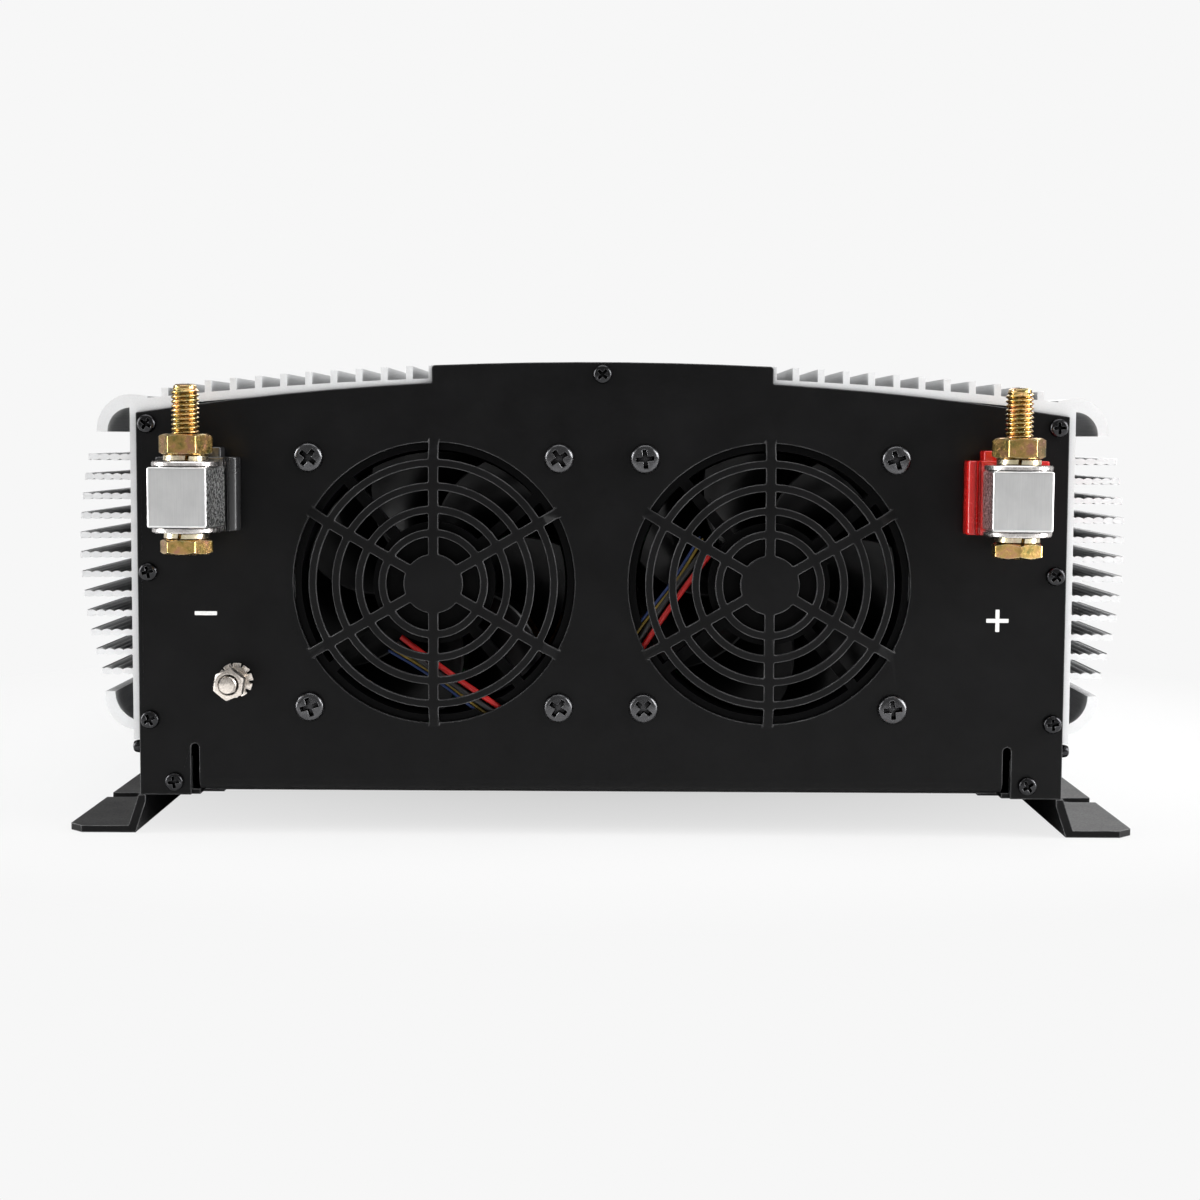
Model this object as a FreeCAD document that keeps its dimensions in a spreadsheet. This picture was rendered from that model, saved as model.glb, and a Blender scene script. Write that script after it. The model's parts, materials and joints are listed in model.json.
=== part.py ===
import FreeCAD, Part

import math
import os
import re

import Sketcher
from FreeCAD import Placement, Rotation, Vector

# Power inverter: a finned aluminium housing on a folded base, two fans and two bolt terminals on the
# DC end, outlets, switch and breakers on the AC end, and the converter boards inside.
# Millimetres. +X is to the right of a person who faces the DC end, +Y runs from the DC end to the AC
# end, +Z is up. The origin is the middle of the footprint, on the surface the rails stand on.

doc = FreeCAD.newDocument("power_inverter")

# Driving dimensions: name, value, meaning. Lengths in mm, angles in degrees.
DIMENSIONS = [
    # case
    ("case_length", 420.0, "length of the extruded housing"),
    ("sheet", 1.5, "thickness of the folded steel sheets"),
    ("wall_half", 135.0, "outer face of the housing's side wall"),
    ("wall", 6.0, "thickness of the housing's side wall, which spreads the transistors' heat"),
    ("wall_foot", 27.0, "lower edge of the housing's side wall"),
    ("leg_foot", 17.0, "lower edge of the thin leg inside the base flange"),
    ("shoulder_top", 124.6, "skin height at the side wall"),
    ("skin_crown", 132.05, "skin height on the centre line"),
    ("skin_thick", 2.5, "thickness of the skin under the fins"),
    ("crown_half", 49.6, "half width of the raised middle of the skin"),
    ("crown_top", 135.9, "height of the raised middle on the centre line"),
    ("crown_edge", 134.8, "height of the raised middle at its edge"),
    ("corner_block", 5.1, "width of the block beside the last top fin"),
    ("gusset_inner", 119.0, "inner edge of the solid corner between skin and wall"),
    ("gusset_foot", 121.2, "lower edge of the solid corner"),
    ("gusset_rise", 2.7, "height of the solid corner, up into the skin"),
    ("block_foot", 121.5, "where the corner block leaves the skin"),
    ("block_top", 125.6, "height of the corner block at its inner edge"),
    ("curl_top", 126.1, "height of the upper curled edge"),
    ("curl_tip", 115.5, "height of the upper curl's tip"),
    ("curl_reach", 9.5, "reach of the upper curl beyond the wall"),
    ("curl_thick", 3.1, "thickness of the upper curl"),
    ("curl_inside", 122.4, "height of the upper curl's hollow at the wall"),
    ("gutter_foot", 29.6, "lower face of the lower curled edge at the wall"),
    ("gutter_tip", 40.8, "height of the lower curl's tip"),
    ("gutter_reach", 8.0, "reach of the lower curl beyond the wall"),
    ("gutter_thick", 2.8, "thickness of the lower curl"),
    # cooling fins
    ("top_fins", 10, "fins on each half of the top"),
    ("top_fin_first", 55.1, "centre of the first top fin"),
    ("top_fin_pitch", 7.18, "spacing of the top fins"),
    ("fin_thick", 1.9, "thickness of a fin"),
    ("fin_arc", 1117.0, "radius of the arc the top fins reach"),
    ("last_fin", 124.9, "centre of the shorter fin beside the corner block"),
    ("last_fin_tall", 2.4, "height of that fin above the skin"),
    ("side_fins", 12, "fins on each side wall"),
    ("side_fin_first", 108.3, "centre height of the highest side fin"),
    ("side_fin_pitch", 5.6, "spacing of the side fins"),
    ("side_reach", 149.6, "furthest reach of the side fins"),
    ("side_arc", 120.0, "radius of the arc the side fins reach"),
    ("side_arc_z", 83.0, "height of that arc's centre"),
    # end plates
    ("plate_half", 133.0, "half width of an end plate"),
    ("plate_foot", 11.0, "lower edge of an end plate"),
    ("plate_corner", 121.0, "top corner height of an end plate"),
    ("plate_crown", 131.2, "lower top edge of an end plate on the centre line"),
    ("crown_inset", 1.0, "how far the plate's raised middle is narrower than the skin's"),
    ("crown_round", 1.0, "corner radius of the plate's raised middle"),
    ("tab_inner", 118.2, "inner edge of a bottom corner tab"),
    ("notch_inner", 115.9, "inner edge of the relief notch beside the tab"),
    ("notch_top", 24.8, "top of the relief notch"),
    ("bend_radius", 3.5, "outer radius of the plate's bottom bend"),
    ("lip_depth", 12.0, "depth of the plate's bent back lip"),
    ("floor_recess", 8.0, "how far the base's floor stops short under the plates' bends"),
    # base and rails
    ("base_tab_top", 22.0, "top of the base's corner tabs"),
    ("rail_inner", 112.0, "inner edge of a rail's top flange"),
    ("rail_top_x", 133.4, "outer face of a rail's web at its top"),
    ("rail_knee_x", 136.4, "outer face of a rail's web at its foot"),
    ("rail_outer", 154.0, "outer edge of a rail's foot flange"),
    ("rail_thick", 2.0, "thickness of a rail"),
    ("rail_half", 212.0, "half length of a rail"),
    ("rail_setback", 18.0, "how far the rail's top flange stops short of its ends"),
    ("rail_chamfer", 4.0, "cut corner of a foot flange"),
    ("slot_radius", 3.9, "half width of the open fixing slots"),
    ("slot_inner", 147.0, "centre of the slot's round inner end"),
    ("slot_y", 161.0, "distance of the slots from the middle"),
    ("rivet_x", 121.0, "line of rivets that join rail and base"),
    # fasteners
    ("screw_shank", 1.25, "radius of the M3 case screws' shank"),
    ("screw_channel", 1.3, "radius of the screw channels"),
    ("screw_hole", 1.6, "radius of the clearance holes"),
    ("screw_head", 2.7, "radius of the case screws' heads"),
    ("screw_head_tall", 1.9, "height of the case screws' heads"),
    ("boss", 3.5, "radius of the screw bosses in the extrusion"),
    ("boss_x", 129.8, "distance of the side bosses from the centre line"),
    ("boss_high", 117.8, "height of the upper side bosses"),
    ("boss_mid", 75.5, "height of the middle side bosses"),
    ("boss_low", 32.9, "height of the lower side bosses"),
    ("boss_crown", 132.4, "height of the middle top boss"),
    ("tab_screw_x", 123.0, "distance of the bottom tab screws"),
    ("tab_screw_z", 14.9, "height of the bottom tab screws"),
    ("side_screw_z", 24.4, "height of the screws through the base flange"),
    ("side_head", 1.9, "radius of the side screws' heads"),
    ("side_head_tall", 3.0, "height of the side screws' heads"),
    ("side_screw_inset", 3.5, "distance of the end side screws from the housing's end"),
    ("screw_long", 10.0, "length of the case screws' shanks"),
    ("short_screw", 5.0, "length of the side screws' shanks"),
    ("rivet_head", 3.0, "radius of the rivets' heads"),
    ("rivet_tail", 2.6, "radius of the rivets' set ends"),
    ("rivet_stem", 1.55, "radius of the rivets' shanks and of the standoffs' tails"),
    ("rivet_pitch", 90.0, "spacing of the rivets"),
    ("rivet_tall", 1.3, "height of the rivets' heads"),
    # fans
    ("fan_x", 48.0, "distance of the fan axes from the centre line"),
    ("fan_z", 72.7, "height of the fan axes"),
    ("fan_size", 80.0, "side of a fan frame"),
    ("fan_deep", 25.0, "depth of a fan frame"),
    ("fan_bore", 38.2, "radius of the air duct"),
    ("fan_hole", 35.75, "distance of the frame's fixing holes from its axis"),
    ("fan_flange", 4.2, "thickness of the frame's corner flanges"),
    ("duct_wall", 1.7, "wall thickness of the air duct"),
    ("fan_fixing", 2.15, "radius of the frame's fixing holes"),
    ("fan_screw", 2.1, "radius of the fan screws' shanks"),
    ("fan_screw_head", 4.2, "radius of the fan screws' heads"),
    ("fan_screw_tall", 2.3, "height of the fan screws' heads"),
    ("motor_radius", 17.5, "radius of the motor mount"),
    ("strut", 3.6, "thickness of the motor mount and its struts"),
    ("strut_wide", 3.2, "width of a strut"),
    ("bearing_tube", 4.5, "outer radius of the bearing tube"),
    ("tube_short", 5.0, "how far the bearing tube stops short of the frame's rear"),
    ("rotor_hub", 16.4, "radius of the rotor's hub"),
    ("cup_wall", 1.4, "wall thickness of the rotor's cup"),
    ("cup_floor", 2.0, "thickness of the cup's rear"),
    ("rotor_gap", 0.6, "gap between the motor mount and the cup"),
    ("rotor_inset", 1.5, "how far the cup stays inside the frame's rear"),
    ("rotor_tip", 37.4, "radius at the blade tips"),
    ("blades", 7, "blades of a rotor"),
    ("blade_thick", 1.4, "thickness of a blade, measured round the axis"),
    ("blade_camber", 1.3, "bow of a blade at half its depth"),
    ("blade_inset", 1.1, "distance of a blade from the ends of the cup"),
    ("stator_gap", 1.0, "gap between the stator and the cup's wall"),
    ("shaft", 1.5, "radius of the rotor's shaft"),
    ("bearing_play", 0.04, "radial clearance of the shaft"),
    ("lead_radius", 0.8, "radius of a fan lead"),
    ("lead_beside", 19.7, "distance of the pair of leads from the fan's axis"),
    ("lead_pitch", 2.16, "spacing of the leads"),
    ("lead_start", 1.0, "start of the leads along their run, counted from abreast of the axis"),
    ("lead_end", 43.0, "end of the leads along their run"),
    ("lead_bow", 0.5, "how far the leads bow away from the axis"),
    ("lead_clock", -35.0, "direction in which the left fan's leads run"),
    ("exit_start", 24.0, "start of the notch that lets the leads out of the frame"),
    ("exit_end", 47.0, "end of the notch"),
    ("exit_wide", 6.6, "width of the notch"),
    ("exit_deep", 3.4, "depth of the notch from the frame's front"),
    ("strut_clock", -50.0, "direction of the left fan's first strut"),
    # grilles
    ("grille_opening", 40.3, "radius of the hole behind a grille"),
    ("grille_rim", 41.6, "radius where a grille meets the plate's face"),
    ("grille_crown", 35.9, "radius of the raised flat of a grille"),
    ("grille_rise", 3.0, "height of the raised flat"),
    ("grille_hub", 8.5, "radius of a grille's middle disc"),
    ("ring_first", 14.5, "middle radius of the smallest ring"),
    ("ring_pitch", 6.65, "spacing of the rings"),
    ("ring_wide", 2.25, "width of a ring"),
    ("rings", 4, "rings in a grille"),
    ("spokes", 6, "spokes of a grille"),
    ("spoke_wide", 2.9, "width of a spoke"),
    # DC terminals
    ("terminal_x", 115.0, "distance of the terminals from the centre line"),
    ("terminal_z", 97.6, "height of the terminal blocks' middle"),
    ("block_side", 16.6, "side of a terminal block"),
    ("block_deep", 21.0, "depth of a terminal block"),
    ("block_round", 1.6, "edge radius of a terminal block"),
    ("insulator_deep", 8.0, "depth of a terminal insulator"),
    ("insulator_low", 87.6, "lower edge of an insulator"),
    ("insulator_high", 108.5, "upper edge of an insulator"),
    ("insulator_inner", 103.0, "inner edge of an insulator"),
    ("insulator_outer", 126.0, "outer edge of an insulator"),
    ("insulator_tab", 2.8, "height of the tab on an insulator"),
    ("tab_inset", 4.5, "distance of the tab from the inner edge"),
    ("tab_outset", 6.0, "distance of the tab from the outer edge"),
    ("ribs", 2, "upright grooves in an insulator's front face"),
    ("rib_inset", 1.9, "distance of the first groove from the inner edge"),
    ("rib_pitch", 1.3, "spacing of the grooves"),
    ("rib_gap", 0.5, "width of a groove"),
    ("rib_deep", 0.7, "depth of a groove"),
    ("collar_wall", 1.8, "wall of the insulator's collar through the plate"),
    ("collar_play", 0.2, "gap round the collar"),
    ("collar_tall", 7.6, "height of the collar"),
    ("collar_long", 2.0, "length of the collar behind the plate"),
    ("stud", 3.95, "radius of the M8 terminal bolts"),
    ("stud_grip", 3.7, "radius that the M8 bolt and nut share"),
    ("stud_hole", 4.3, "radius of the bolt hole in the block"),
    ("stud_flats", 13.0, "width across the flats of M8 nuts and heads"),
    ("stud_head", 4.3, "height of the M8 bolt head"),
    ("stud_nut", 5.8, "height of the M8 nut"),
    ("stud_end", 128.6, "height of the bolts' upper end"),
    ("flat_washer", 1.5, "thickness of the flat washers"),
    ("flat_washer_radius", 9.4, "outer radius of the flat washers"),
    ("spring_washer", 1.8, "thickness of the spring washers"),
    ("spring_washer_radius", 6.2, "outer radius of the spring washers"),
    ("bar_wide", 12.0, "width of the copper bars behind the terminals"),
    ("bar_thick", 3.0, "thickness of the copper bars"),
    ("bar_drop", 29.0, "distance from the housing's end to the bars' downward fold"),
    ("bar_foot", 88.0, "inner end of the bars' feet on the board"),
    ("bar_foot_long", 21.0, "length of the bars' feet"),
    # ground stud
    ("ground_x", -105.0, "position of the ground stud across the plate"),
    ("ground_z", 44.5, "height of the ground stud"),
    ("ground_free", 2.45, "radius of the M5 ground stud"),
    ("ground_grip", 2.2, "radius that the ground stud and its nut share"),
    ("ground_reach", 15.0, "how far the ground stud stands out of the plate"),
    ("star_washer", 0.8, "thickness of a star washer"),
    ("ground_nut_gap", 8.6, "distance of the ground nut from the plate"),
    ("ground_nut_tall", 4.0, "height of the ground nut"),
    ("ground_flats", 8.0, "width across the flats of the M5 nut"),
    ("ground_head", 3.5, "height of the ground stud's head behind the plate"),
    ("star_radius", 5.0, "outer radius of the star washers"),
    ("thread_play", 0.03, "radial clearance between a nut and its bolt"),
    # AC end
    ("outlet_x", 22.0, "distance of the outlets from the middle of the pair"),
    ("outlet_wide", 38.0, "width of an outlet's face"),
    ("outlet_tall", 74.0, "height of an outlet's face"),
    ("outlet_z", 76.0, "height of the outlets' middle"),
    ("outlet_proud", 4.0, "how far an outlet's face stands out"),
    ("outlet_deep", 24.0, "depth of an outlet behind the plate"),
    ("outlet_rim", 2.0, "border of an outlet's face beyond its cut-out"),
    ("fit_gap", 0.2, "gap between a fitting and its cut-out"),
    ("socket_pitch", 38.0, "distance between an outlet's two sockets"),
    ("slot_shift", 6.35, "distance of the blade slots from a socket's middle"),
    ("slot_lift", 3.0, "height of the blade slots above a socket's middle"),
    ("slot_wide", 2.0, "width of a blade slot"),
    ("neutral_tall", 8.2, "height of the neutral slot"),
    ("line_tall", 6.8, "height of the line slot"),
    ("earth_drop", 8.0, "distance of the earth hole below a socket's middle"),
    ("earth_hole", 2.6, "radius of the earth hole"),
    ("contact_end", 14.0, "depth of the contact openings behind the plate's face"),
    ("contact_start", 6.0, "depth where the contacts begin"),
    ("leaf_offset", 0.65, "distance of a contact leaf from its slot's middle"),
    ("leaf_thick", 0.5, "thickness of a contact leaf or sleeve"),
    ("leaf_tall", 5.0, "height of a contact leaf"),
    ("switch_x", 96.0, "position of the power switch"),
    ("switch_z", 98.0, "height of the power switch"),
    ("switch_wide", 22.0, "width of the switch's cut-out"),
    ("switch_tall", 30.0, "height of the switch's cut-out"),
    ("switch_deep", 22.0, "depth of the switch behind the plate"),
    ("bezel_wide", 25.0, "width of the switch's bezel"),
    ("bezel_tall", 33.0, "height of the switch's bezel"),
    ("bezel_proud", 2.0, "thickness of the switch's bezel"),
    ("well_deep", 15.0, "depth of the rocker's well behind the plate's face"),
    ("well_tall", 26.6, "height of the rocker's well"),
    ("rocker_pivot", 2.0, "depth of the rocker's pivot behind the plate's face"),
    ("rocker_proud", 3.4, "how far the rocker's ends stand in front of the plate's face"),
    ("rocker_sweep", 12.4, "radius of the rocker's round back"),
    ("rocker_wide", 17.6, "width of the rocker"),
    ("rocker_gap", 0.4, "gap beside the rocker"),
    ("rocker_tilt", 11.0, "tilt of the rocker to each side"),
    ("rocker_pin", 1.5, "radius of the rocker's pin"),
    ("pin_long", 19.8, "length of the rocker's pin"),
    ("breaker_x", 66.0, "position of the breakers"),
    ("breaker_high", 100.0, "height of the upper breaker"),
    ("breaker_low", 64.0, "height of the lower breaker"),
    ("breaker_wide", 16.0, "width of a breaker's case"),
    ("breaker_tall", 28.0, "height and depth of a breaker's case"),
    ("breaker_collar", 5.5, "radius of a breaker's threaded collar"),
    ("collar_hole", 5.6, "radius of a breaker's hole in the plate"),
    ("collar_proud", 5.0, "how far the collar stands out"),
    ("collar_flats", 14.0, "width across the flats of the collar's nut"),
    ("collar_nut", 2.2, "thickness of the collar's nut"),
    ("button_well", 14.0, "depth of the button's well behind the plate"),
    ("button", 4.0, "radius of a breaker's button"),
    ("button_play", 0.06, "radial clearance of the button"),
    ("button_back", 10.0, "how far the button reaches behind the plate"),
    ("button_proud", 7.0, "how far the button stands out"),
    ("button_bevel", 0.8, "bevel of the button's end"),
    ("usb_z", 66.0, "height of the USB port"),
    ("usb_wide", 13.2, "width of the USB shell"),
    ("usb_tall", 6.0, "height of the USB shell"),
    ("usb_wall", 0.5, "wall thickness of the USB shell"),
    ("usb_deep", 14.0, "depth of the USB shell behind the plate"),
    ("usb_proud", 0.6, "how far the USB shell stands out"),
    ("tongue_wide", 10.4, "width of the USB tongue"),
    ("tongue_thick", 1.8, "thickness of the USB tongue"),
    ("port_gap", 0.4, "gap round the USB shell"),
    ("remote_z", 44.0, "height of the remote control port"),
    ("remote_wide", 15.6, "width of the remote control port"),
    ("remote_tall", 13.6, "height of the remote control port"),
    ("remote_deep", 16.0, "depth of the remote control port behind the plate"),
    ("remote_proud", 0.8, "how far the remote control port stands out"),
    ("jack_wide", 10.4, "width of the jack's opening"),
    ("jack_tall", 7.2, "height of the jack's opening"),
    ("jack_deep", 12.0, "depth of the jack's opening behind the plate"),
    ("latch_wide", 3.6, "width of the latch's opening"),
    ("latch_tall", 1.8, "height of the latch's opening"),
    ("lamp_x", 66.0, "position of the indicator lamps"),
    ("lamp_shift", 7.0, "distance of each lamp from that position"),
    ("lamp", 2.5, "radius of an indicator lamp"),
    ("lamp_hole", 2.6, "radius of a lamp's hole in the plate"),
    ("lamp_rim", 3.0, "radius of a lamp's rim behind the plate"),
    ("lamp_back", 4.0, "how far a lamp reaches behind the plate"),
    ("lamp_proud", 0.6, "how far a lamp's barrel stands out"),
    ("lamp_dome", 1.4, "height of a lamp's dome"),
    ("cover_x", -84.0, "position of the AC terminal cover"),
    ("cover_z", 76.0, "height of the AC terminal cover"),
    ("cover_wide", 44.0, "width of the AC terminal cover"),
    ("cover_tall", 62.0, "height of the AC terminal cover"),
    ("cover_proud", 29.0, "how far the AC terminal cover stands out"),
    ("ear_wide", 60.0, "width over the cover's ears"),
    ("ear_tall", 16.0, "height of the cover's ears"),
    ("ear_screw", 25.0, "distance of the cover's screws from its middle"),
    ("cable_hole", 7.5, "radius of the cable hole in the cover"),
    ("cable_opening", 40.0, "height of the opening in the plate behind the cover"),
    ("way_pitch", 12.6, "spacing of the AC terminals"),
    ("way_wide", 10.4, "width of a terminal's bay"),
    ("way_low", 9.0, "depth of a bay below the cover's middle"),
    ("way_high", 6.0, "height of a bay above the cover's middle"),
    ("way_step", 1.0, "position of a bay's floor in front of the plate's back"),
    ("way_drop", 1.0, "distance of the terminal screws below the cover's middle"),
    ("way_front", 6.0, "how far the AC terminal block stands in front of the plate's back"),
    ("way_back", 10.0, "how far the AC terminal block reaches behind the plate"),
    ("way_block", 40.0, "width of the AC terminal block"),
    ("way_tall", 16.0, "height of the AC terminal block"),
    ("way_screw", 1.5, "radius of a terminal screw's shank"),
    ("way_hole", 1.55, "radius of a terminal screw's hole"),
    ("way_head", 3.4, "radius of a terminal screw's head"),
    ("way_head_tall", 2.4, "height of a terminal screw's head"),
    ("way_shank", 6.0, "length of a terminal screw's shank"),
    ("vent_wide", 4.2, "width of an intake slot"),
    ("vent_pitch", 9.0, "spacing of the intake slots"),
    ("vent_low", 21.0, "lower end of the intake slots"),
    ("vent_high", 33.0, "upper end of the intake slots"),
    ("vents", 23, "intake slots in the row"),
    # electronics
    ("board_half_x", 118.0, "half width of the main board"),
    ("board_half_y", 165.0, "half length of the main board"),
    ("board_z", 22.5, "underside of the main board"),
    ("board_thick", 1.6, "thickness of a board"),
    ("post_x", 100.0, "spacing of the standoffs across the case"),
    ("post_y", 155.0, "spacing of the standoffs along the case"),
    ("post_flats", 6.0, "width across the flats of a standoff"),
    ("post_thread", 7.0, "depth of a standoff's thread"),
    ("core_pitch", 50.0, "spacing of the transformers"),
    ("core_y", -86.0, "position of the transformers along the case"),
    ("core_wide", 38.0, "width, depth and height of a transformer's core"),
    ("window_low", 7.0, "height of the core's lower yoke"),
    ("window_tall", 24.0, "height of the core's windows"),
    ("window_x", 9.0, "distance of the windows from the core's middle"),
    ("window_wide", 8.0, "width of a window"),
    ("coil_wide", 25.8, "width of a winding"),
    ("coil_deep", 52.0, "depth of a winding over its ends"),
    ("coil_gap", 0.1, "gap between winding and core"),
    ("can_low", 8.0, "radius of an input capacitor"),
    ("can_low_x", 66.0, "distance of the inner input capacitors from the centre line"),
    ("can_low_y", -150.0, "position of the first row of input capacitors"),
    ("can_low_pitch", 18.0, "spacing of the input capacitors"),
    ("can_low_tall", 31.0, "height of an input capacitor"),
    ("can_high", 15.0, "radius of a bus capacitor"),
    ("can_high_pitch", 33.0, "spacing of the bus capacitors"),
    ("can_high_tall", 50.0, "height of a bus capacitor"),
    ("bus_y", 60.0, "position of the bus capacitors along the case"),
    ("pad_thick", 0.4, "thickness of an insulation pad"),
    ("pad_low", 44.0, "lower edge of the insulation pads"),
    ("pad_high", 68.0, "upper edge of the insulation pads"),
    ("pad_start", -60.0, "start of the insulation pads along the case"),
    ("pad_end", 160.0, "end of the insulation pads along the case"),
    ("transistors", 10, "transistors on each wall"),
    ("transistor_first", -48.0, "position of the first transistor"),
    ("transistor_pitch", 22.0, "spacing of the transistors"),
    ("transistor_wide", 16.0, "width of a transistor"),
    ("transistor_tall", 20.0, "height of a transistor"),
    ("transistor_thick", 5.0, "thickness of a transistor"),
    ("clamp_z", 56.0, "height of the clamp bars' middle"),
    ("clamp_tall", 12.0, "height of a clamp bar"),
    ("clamp_thick", 3.0, "thickness of a clamp bar"),
    ("clamp_shank", 1.2, "radius of the clamp screws' shanks"),
    ("clamp_long", 8.0, "length of the clamp screws' shanks"),
    ("ring_middle", 19.0, "middle radius of the output inductor"),
    ("ring_round", 9.0, "radius of the inductor's winding"),
    ("ring_y", 118.0, "position of the inductor along the case"),
    ("ring_lift", 0.2, "gap between inductor and board"),
    ("fuse_x", 25.0, "distance of the inner fuses from the centre line"),
    ("fuse_pitch", 10.0, "spacing of the fuses"),
    ("fuse_wide", 4.0, "width of a fuse"),
    ("fuse_tall", 18.0, "height of a fuse"),
    ("fuse_start", -158.0, "start of the fuses along the case"),
    ("fuse_end", -140.0, "end of the fuses along the case"),
    ("control_y", 12.0, "position of the control board"),
    ("control_half", 45.0, "half width of the control board"),
    ("control_tall", 55.0, "height of the control board"),
    # cutting
    ("over", 1.0, "how far a cut runs past the faces it opens"),
]


def fill_sheet():
    """Write the dimensions into a spreadsheet and give each cell its alias."""
    sheet = doc.addObject("Spreadsheet::Sheet", "dims")
    for row, (name, value, meaning) in enumerate(DIMENSIONS, start=1):
        sheet.set(f"A{row}", meaning)
        sheet.set(f"B{row}", str(value))
        sheet.setAlias(f"B{row}", name)
    doc.recompute()
    return sheet


dims = fill_sheet()
NAMES = {name for name, value, meaning in DIMENSIONS}
nodes = []


def size(name):
    """The number in the sheet under this alias."""
    return float(dims.get(name))


def formula(text):
    """A formula with the sheet's aliases spelled as references to the sheet."""
    return re.sub(r"[a-z_]+", lambda word: f"dims.{word[0]}" if word[0] in NAMES else word[0], str(text))


def bind(item, **formulas):
    """Bind properties of an object to formulas of the sheet's aliases."""
    for name, text in formulas.items():
        item.setExpression(name, formula(text))


def put(item, x=0, y=0, z=0):
    """Bind an object's position to formulas."""
    for axis, text in zip("xyz", (x, y, z)):
        item.setExpression(f"Placement.Base.{axis}", formula(text))


def node(label, item):
    """Name a finished sub-part and list it for export."""
    item.Label = label
    nodes.append(item)
    return item


# ---------------------------------------------------------------- primitives

TURN = {
    "X": Rotation(Vector(0, 1, 0), 90),
    "Y": Rotation(Vector(1, 0, 0), -90),
    "Z": Rotation(),
}


def box(name, x, y, z):
    """A block between two formulas on each axis."""
    item = doc.addObject("Part::Box", name)
    spans = {"Length": x, "Width": y, "Height": z}
    bind(item, **{side: f"({high}) - ({low})" for side, (low, high) in spans.items()})
    put(item, x[0], y[0], z[0])
    return item


def around(middle, half):
    """A span centred on a formula."""
    return (f"{middle} - ({half})", f"{middle} + ({half})")


def mirrored(side, near, far):
    """A span between two distances from the middle of the case, on one side of it."""
    ends = (f"{side} * ({near})", f"{side} * ({far})")
    return ends if side > 0 else ends[::-1]


def along(item, axis, centre, low):
    """Stand an object on an axis: its centre on the other two axes, and where it starts."""
    item.Placement = Placement(Vector(), TURN[axis])
    first, second = centre
    places = {"X": (low, first, second), "Y": (first, low, second), "Z": (first, second, low)}
    put(item, *places[axis])
    return item


def rod(name, axis, radius, centre, span):
    """A cylinder along an axis."""
    item = doc.addObject("Part::Cylinder", name)
    bind(item, Radius=radius, Height=f"({span[1]}) - ({span[0]})")
    return along(item, axis, centre, span[0])


def cone(name, axis, radii, centre, span):
    """A cone along an axis, its first radius at the start of the span."""
    item = doc.addObject("Part::Cone", name)
    bind(item, Radius1=radii[0], Radius2=radii[1], Height=f"({span[1]}) - ({span[0]})")
    return along(item, axis, centre, span[0])


def hexagon(name, axis, flats, centre, span):
    """A hexagonal prism along an axis."""
    item = doc.addObject("Part::Prism", name)
    item.Polygon = 6
    bind(item, Circumradius=f"{flats} / sqrt(3)", Height=f"({span[1]}) - ({span[0]})")
    return along(item, axis, centre, span[0])


def fuse(name, pieces):
    """One shape from several that touch or overlap."""
    item = doc.addObject("Part::MultiFuse", name)
    item.Shapes = pieces
    item.Refine = True
    return item


def cut(name, base, tools):
    """A shape with others taken away."""
    item = doc.addObject("Part::Cut", name)
    item.Base = base
    item.Tool = tools[0] if len(tools) == 1 else group(name + "_tools", tools)
    item.Refine = True
    return item


def common(name, first, second):
    """What two shapes share."""
    item = doc.addObject("Part::Common", name)
    item.Base = first
    item.Tool = second
    return item


def group(name, pieces):
    """Separate solids kept together under one name."""
    item = doc.addObject("Part::Compound", name)
    item.Links = pieces
    return item


# ---------------------------------------------------------------- bodies

def body(name):
    return doc.addObject("PartDesign::Body", name)


def plane(owner, role):
    return next(item for item in owner.Origin.OriginFeatures if item.Role == role)


def sketch(owner, name, role, offset=0):
    """A sketch on one of the body's own origin planes, moved along the plane's normal."""
    item = owner.newObject("Sketcher::SketchObject", name)
    item.AttachmentSupport = (plane(owner, role), [""])
    item.MapMode = "FlatFace"
    item.setExpression("AttachmentOffset.Base.z", formula(offset))
    return item


def outline(drawing, start, *steps):
    """Draw a closed outline. A step is a point, or a pair of points for an arc through the first."""
    here = Vector(*start)
    for step in steps:
        if isinstance(step[0], tuple):
            there = Vector(*step[1])
            drawing.addGeometry(Part.Arc(here, Vector(*step[0]), there), False)
        else:
            there = Vector(*step)
            drawing.addGeometry(Part.LineSegment(here, there), False)
        here = there
    if here.distanceToPoint(Vector(*start)) > 1e-6:
        drawing.addGeometry(Part.LineSegment(here, Vector(*start)), False)


def rectangle(drawing, low_u, low_v, high_u, high_v):
    outline(drawing, (low_u, low_v), (high_u, low_v), (high_u, high_v), (low_u, high_v))


def circle(drawing, u, v, radius):
    """A circle whose radius is bound to a formula."""
    index = drawing.addGeometry(Part.Circle(Vector(u, v), Vector(0, 0, 1), 1.0), False)
    rule = drawing.addConstraint(Sketcher.Constraint("Radius", index, 1.0))
    drawing.setExpression(f"Constraints[{rule}]", formula(radius))


def pad(owner, drawing, length, symmetric=False, backwards=False):
    item = owner.newObject("PartDesign::Pad", drawing.Name + "_pad")
    item.Profile = drawing
    item.SideType = "Symmetric" if symmetric else "One side"
    item.Reversed = backwards
    bind(item, Length=length)
    return item


def pocket(owner, drawing, length=None, backwards=False):
    """Cut a sketch through everything, or to a stated depth."""
    item = owner.newObject("PartDesign::Pocket", drawing.Name + "_pocket")
    item.Profile = drawing
    if length is None:
        item.Type = "ThroughAll"
        item.SideType = "Symmetric"
    else:
        item.Reversed = backwards
        bind(item, Length=length)
    return item


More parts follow.
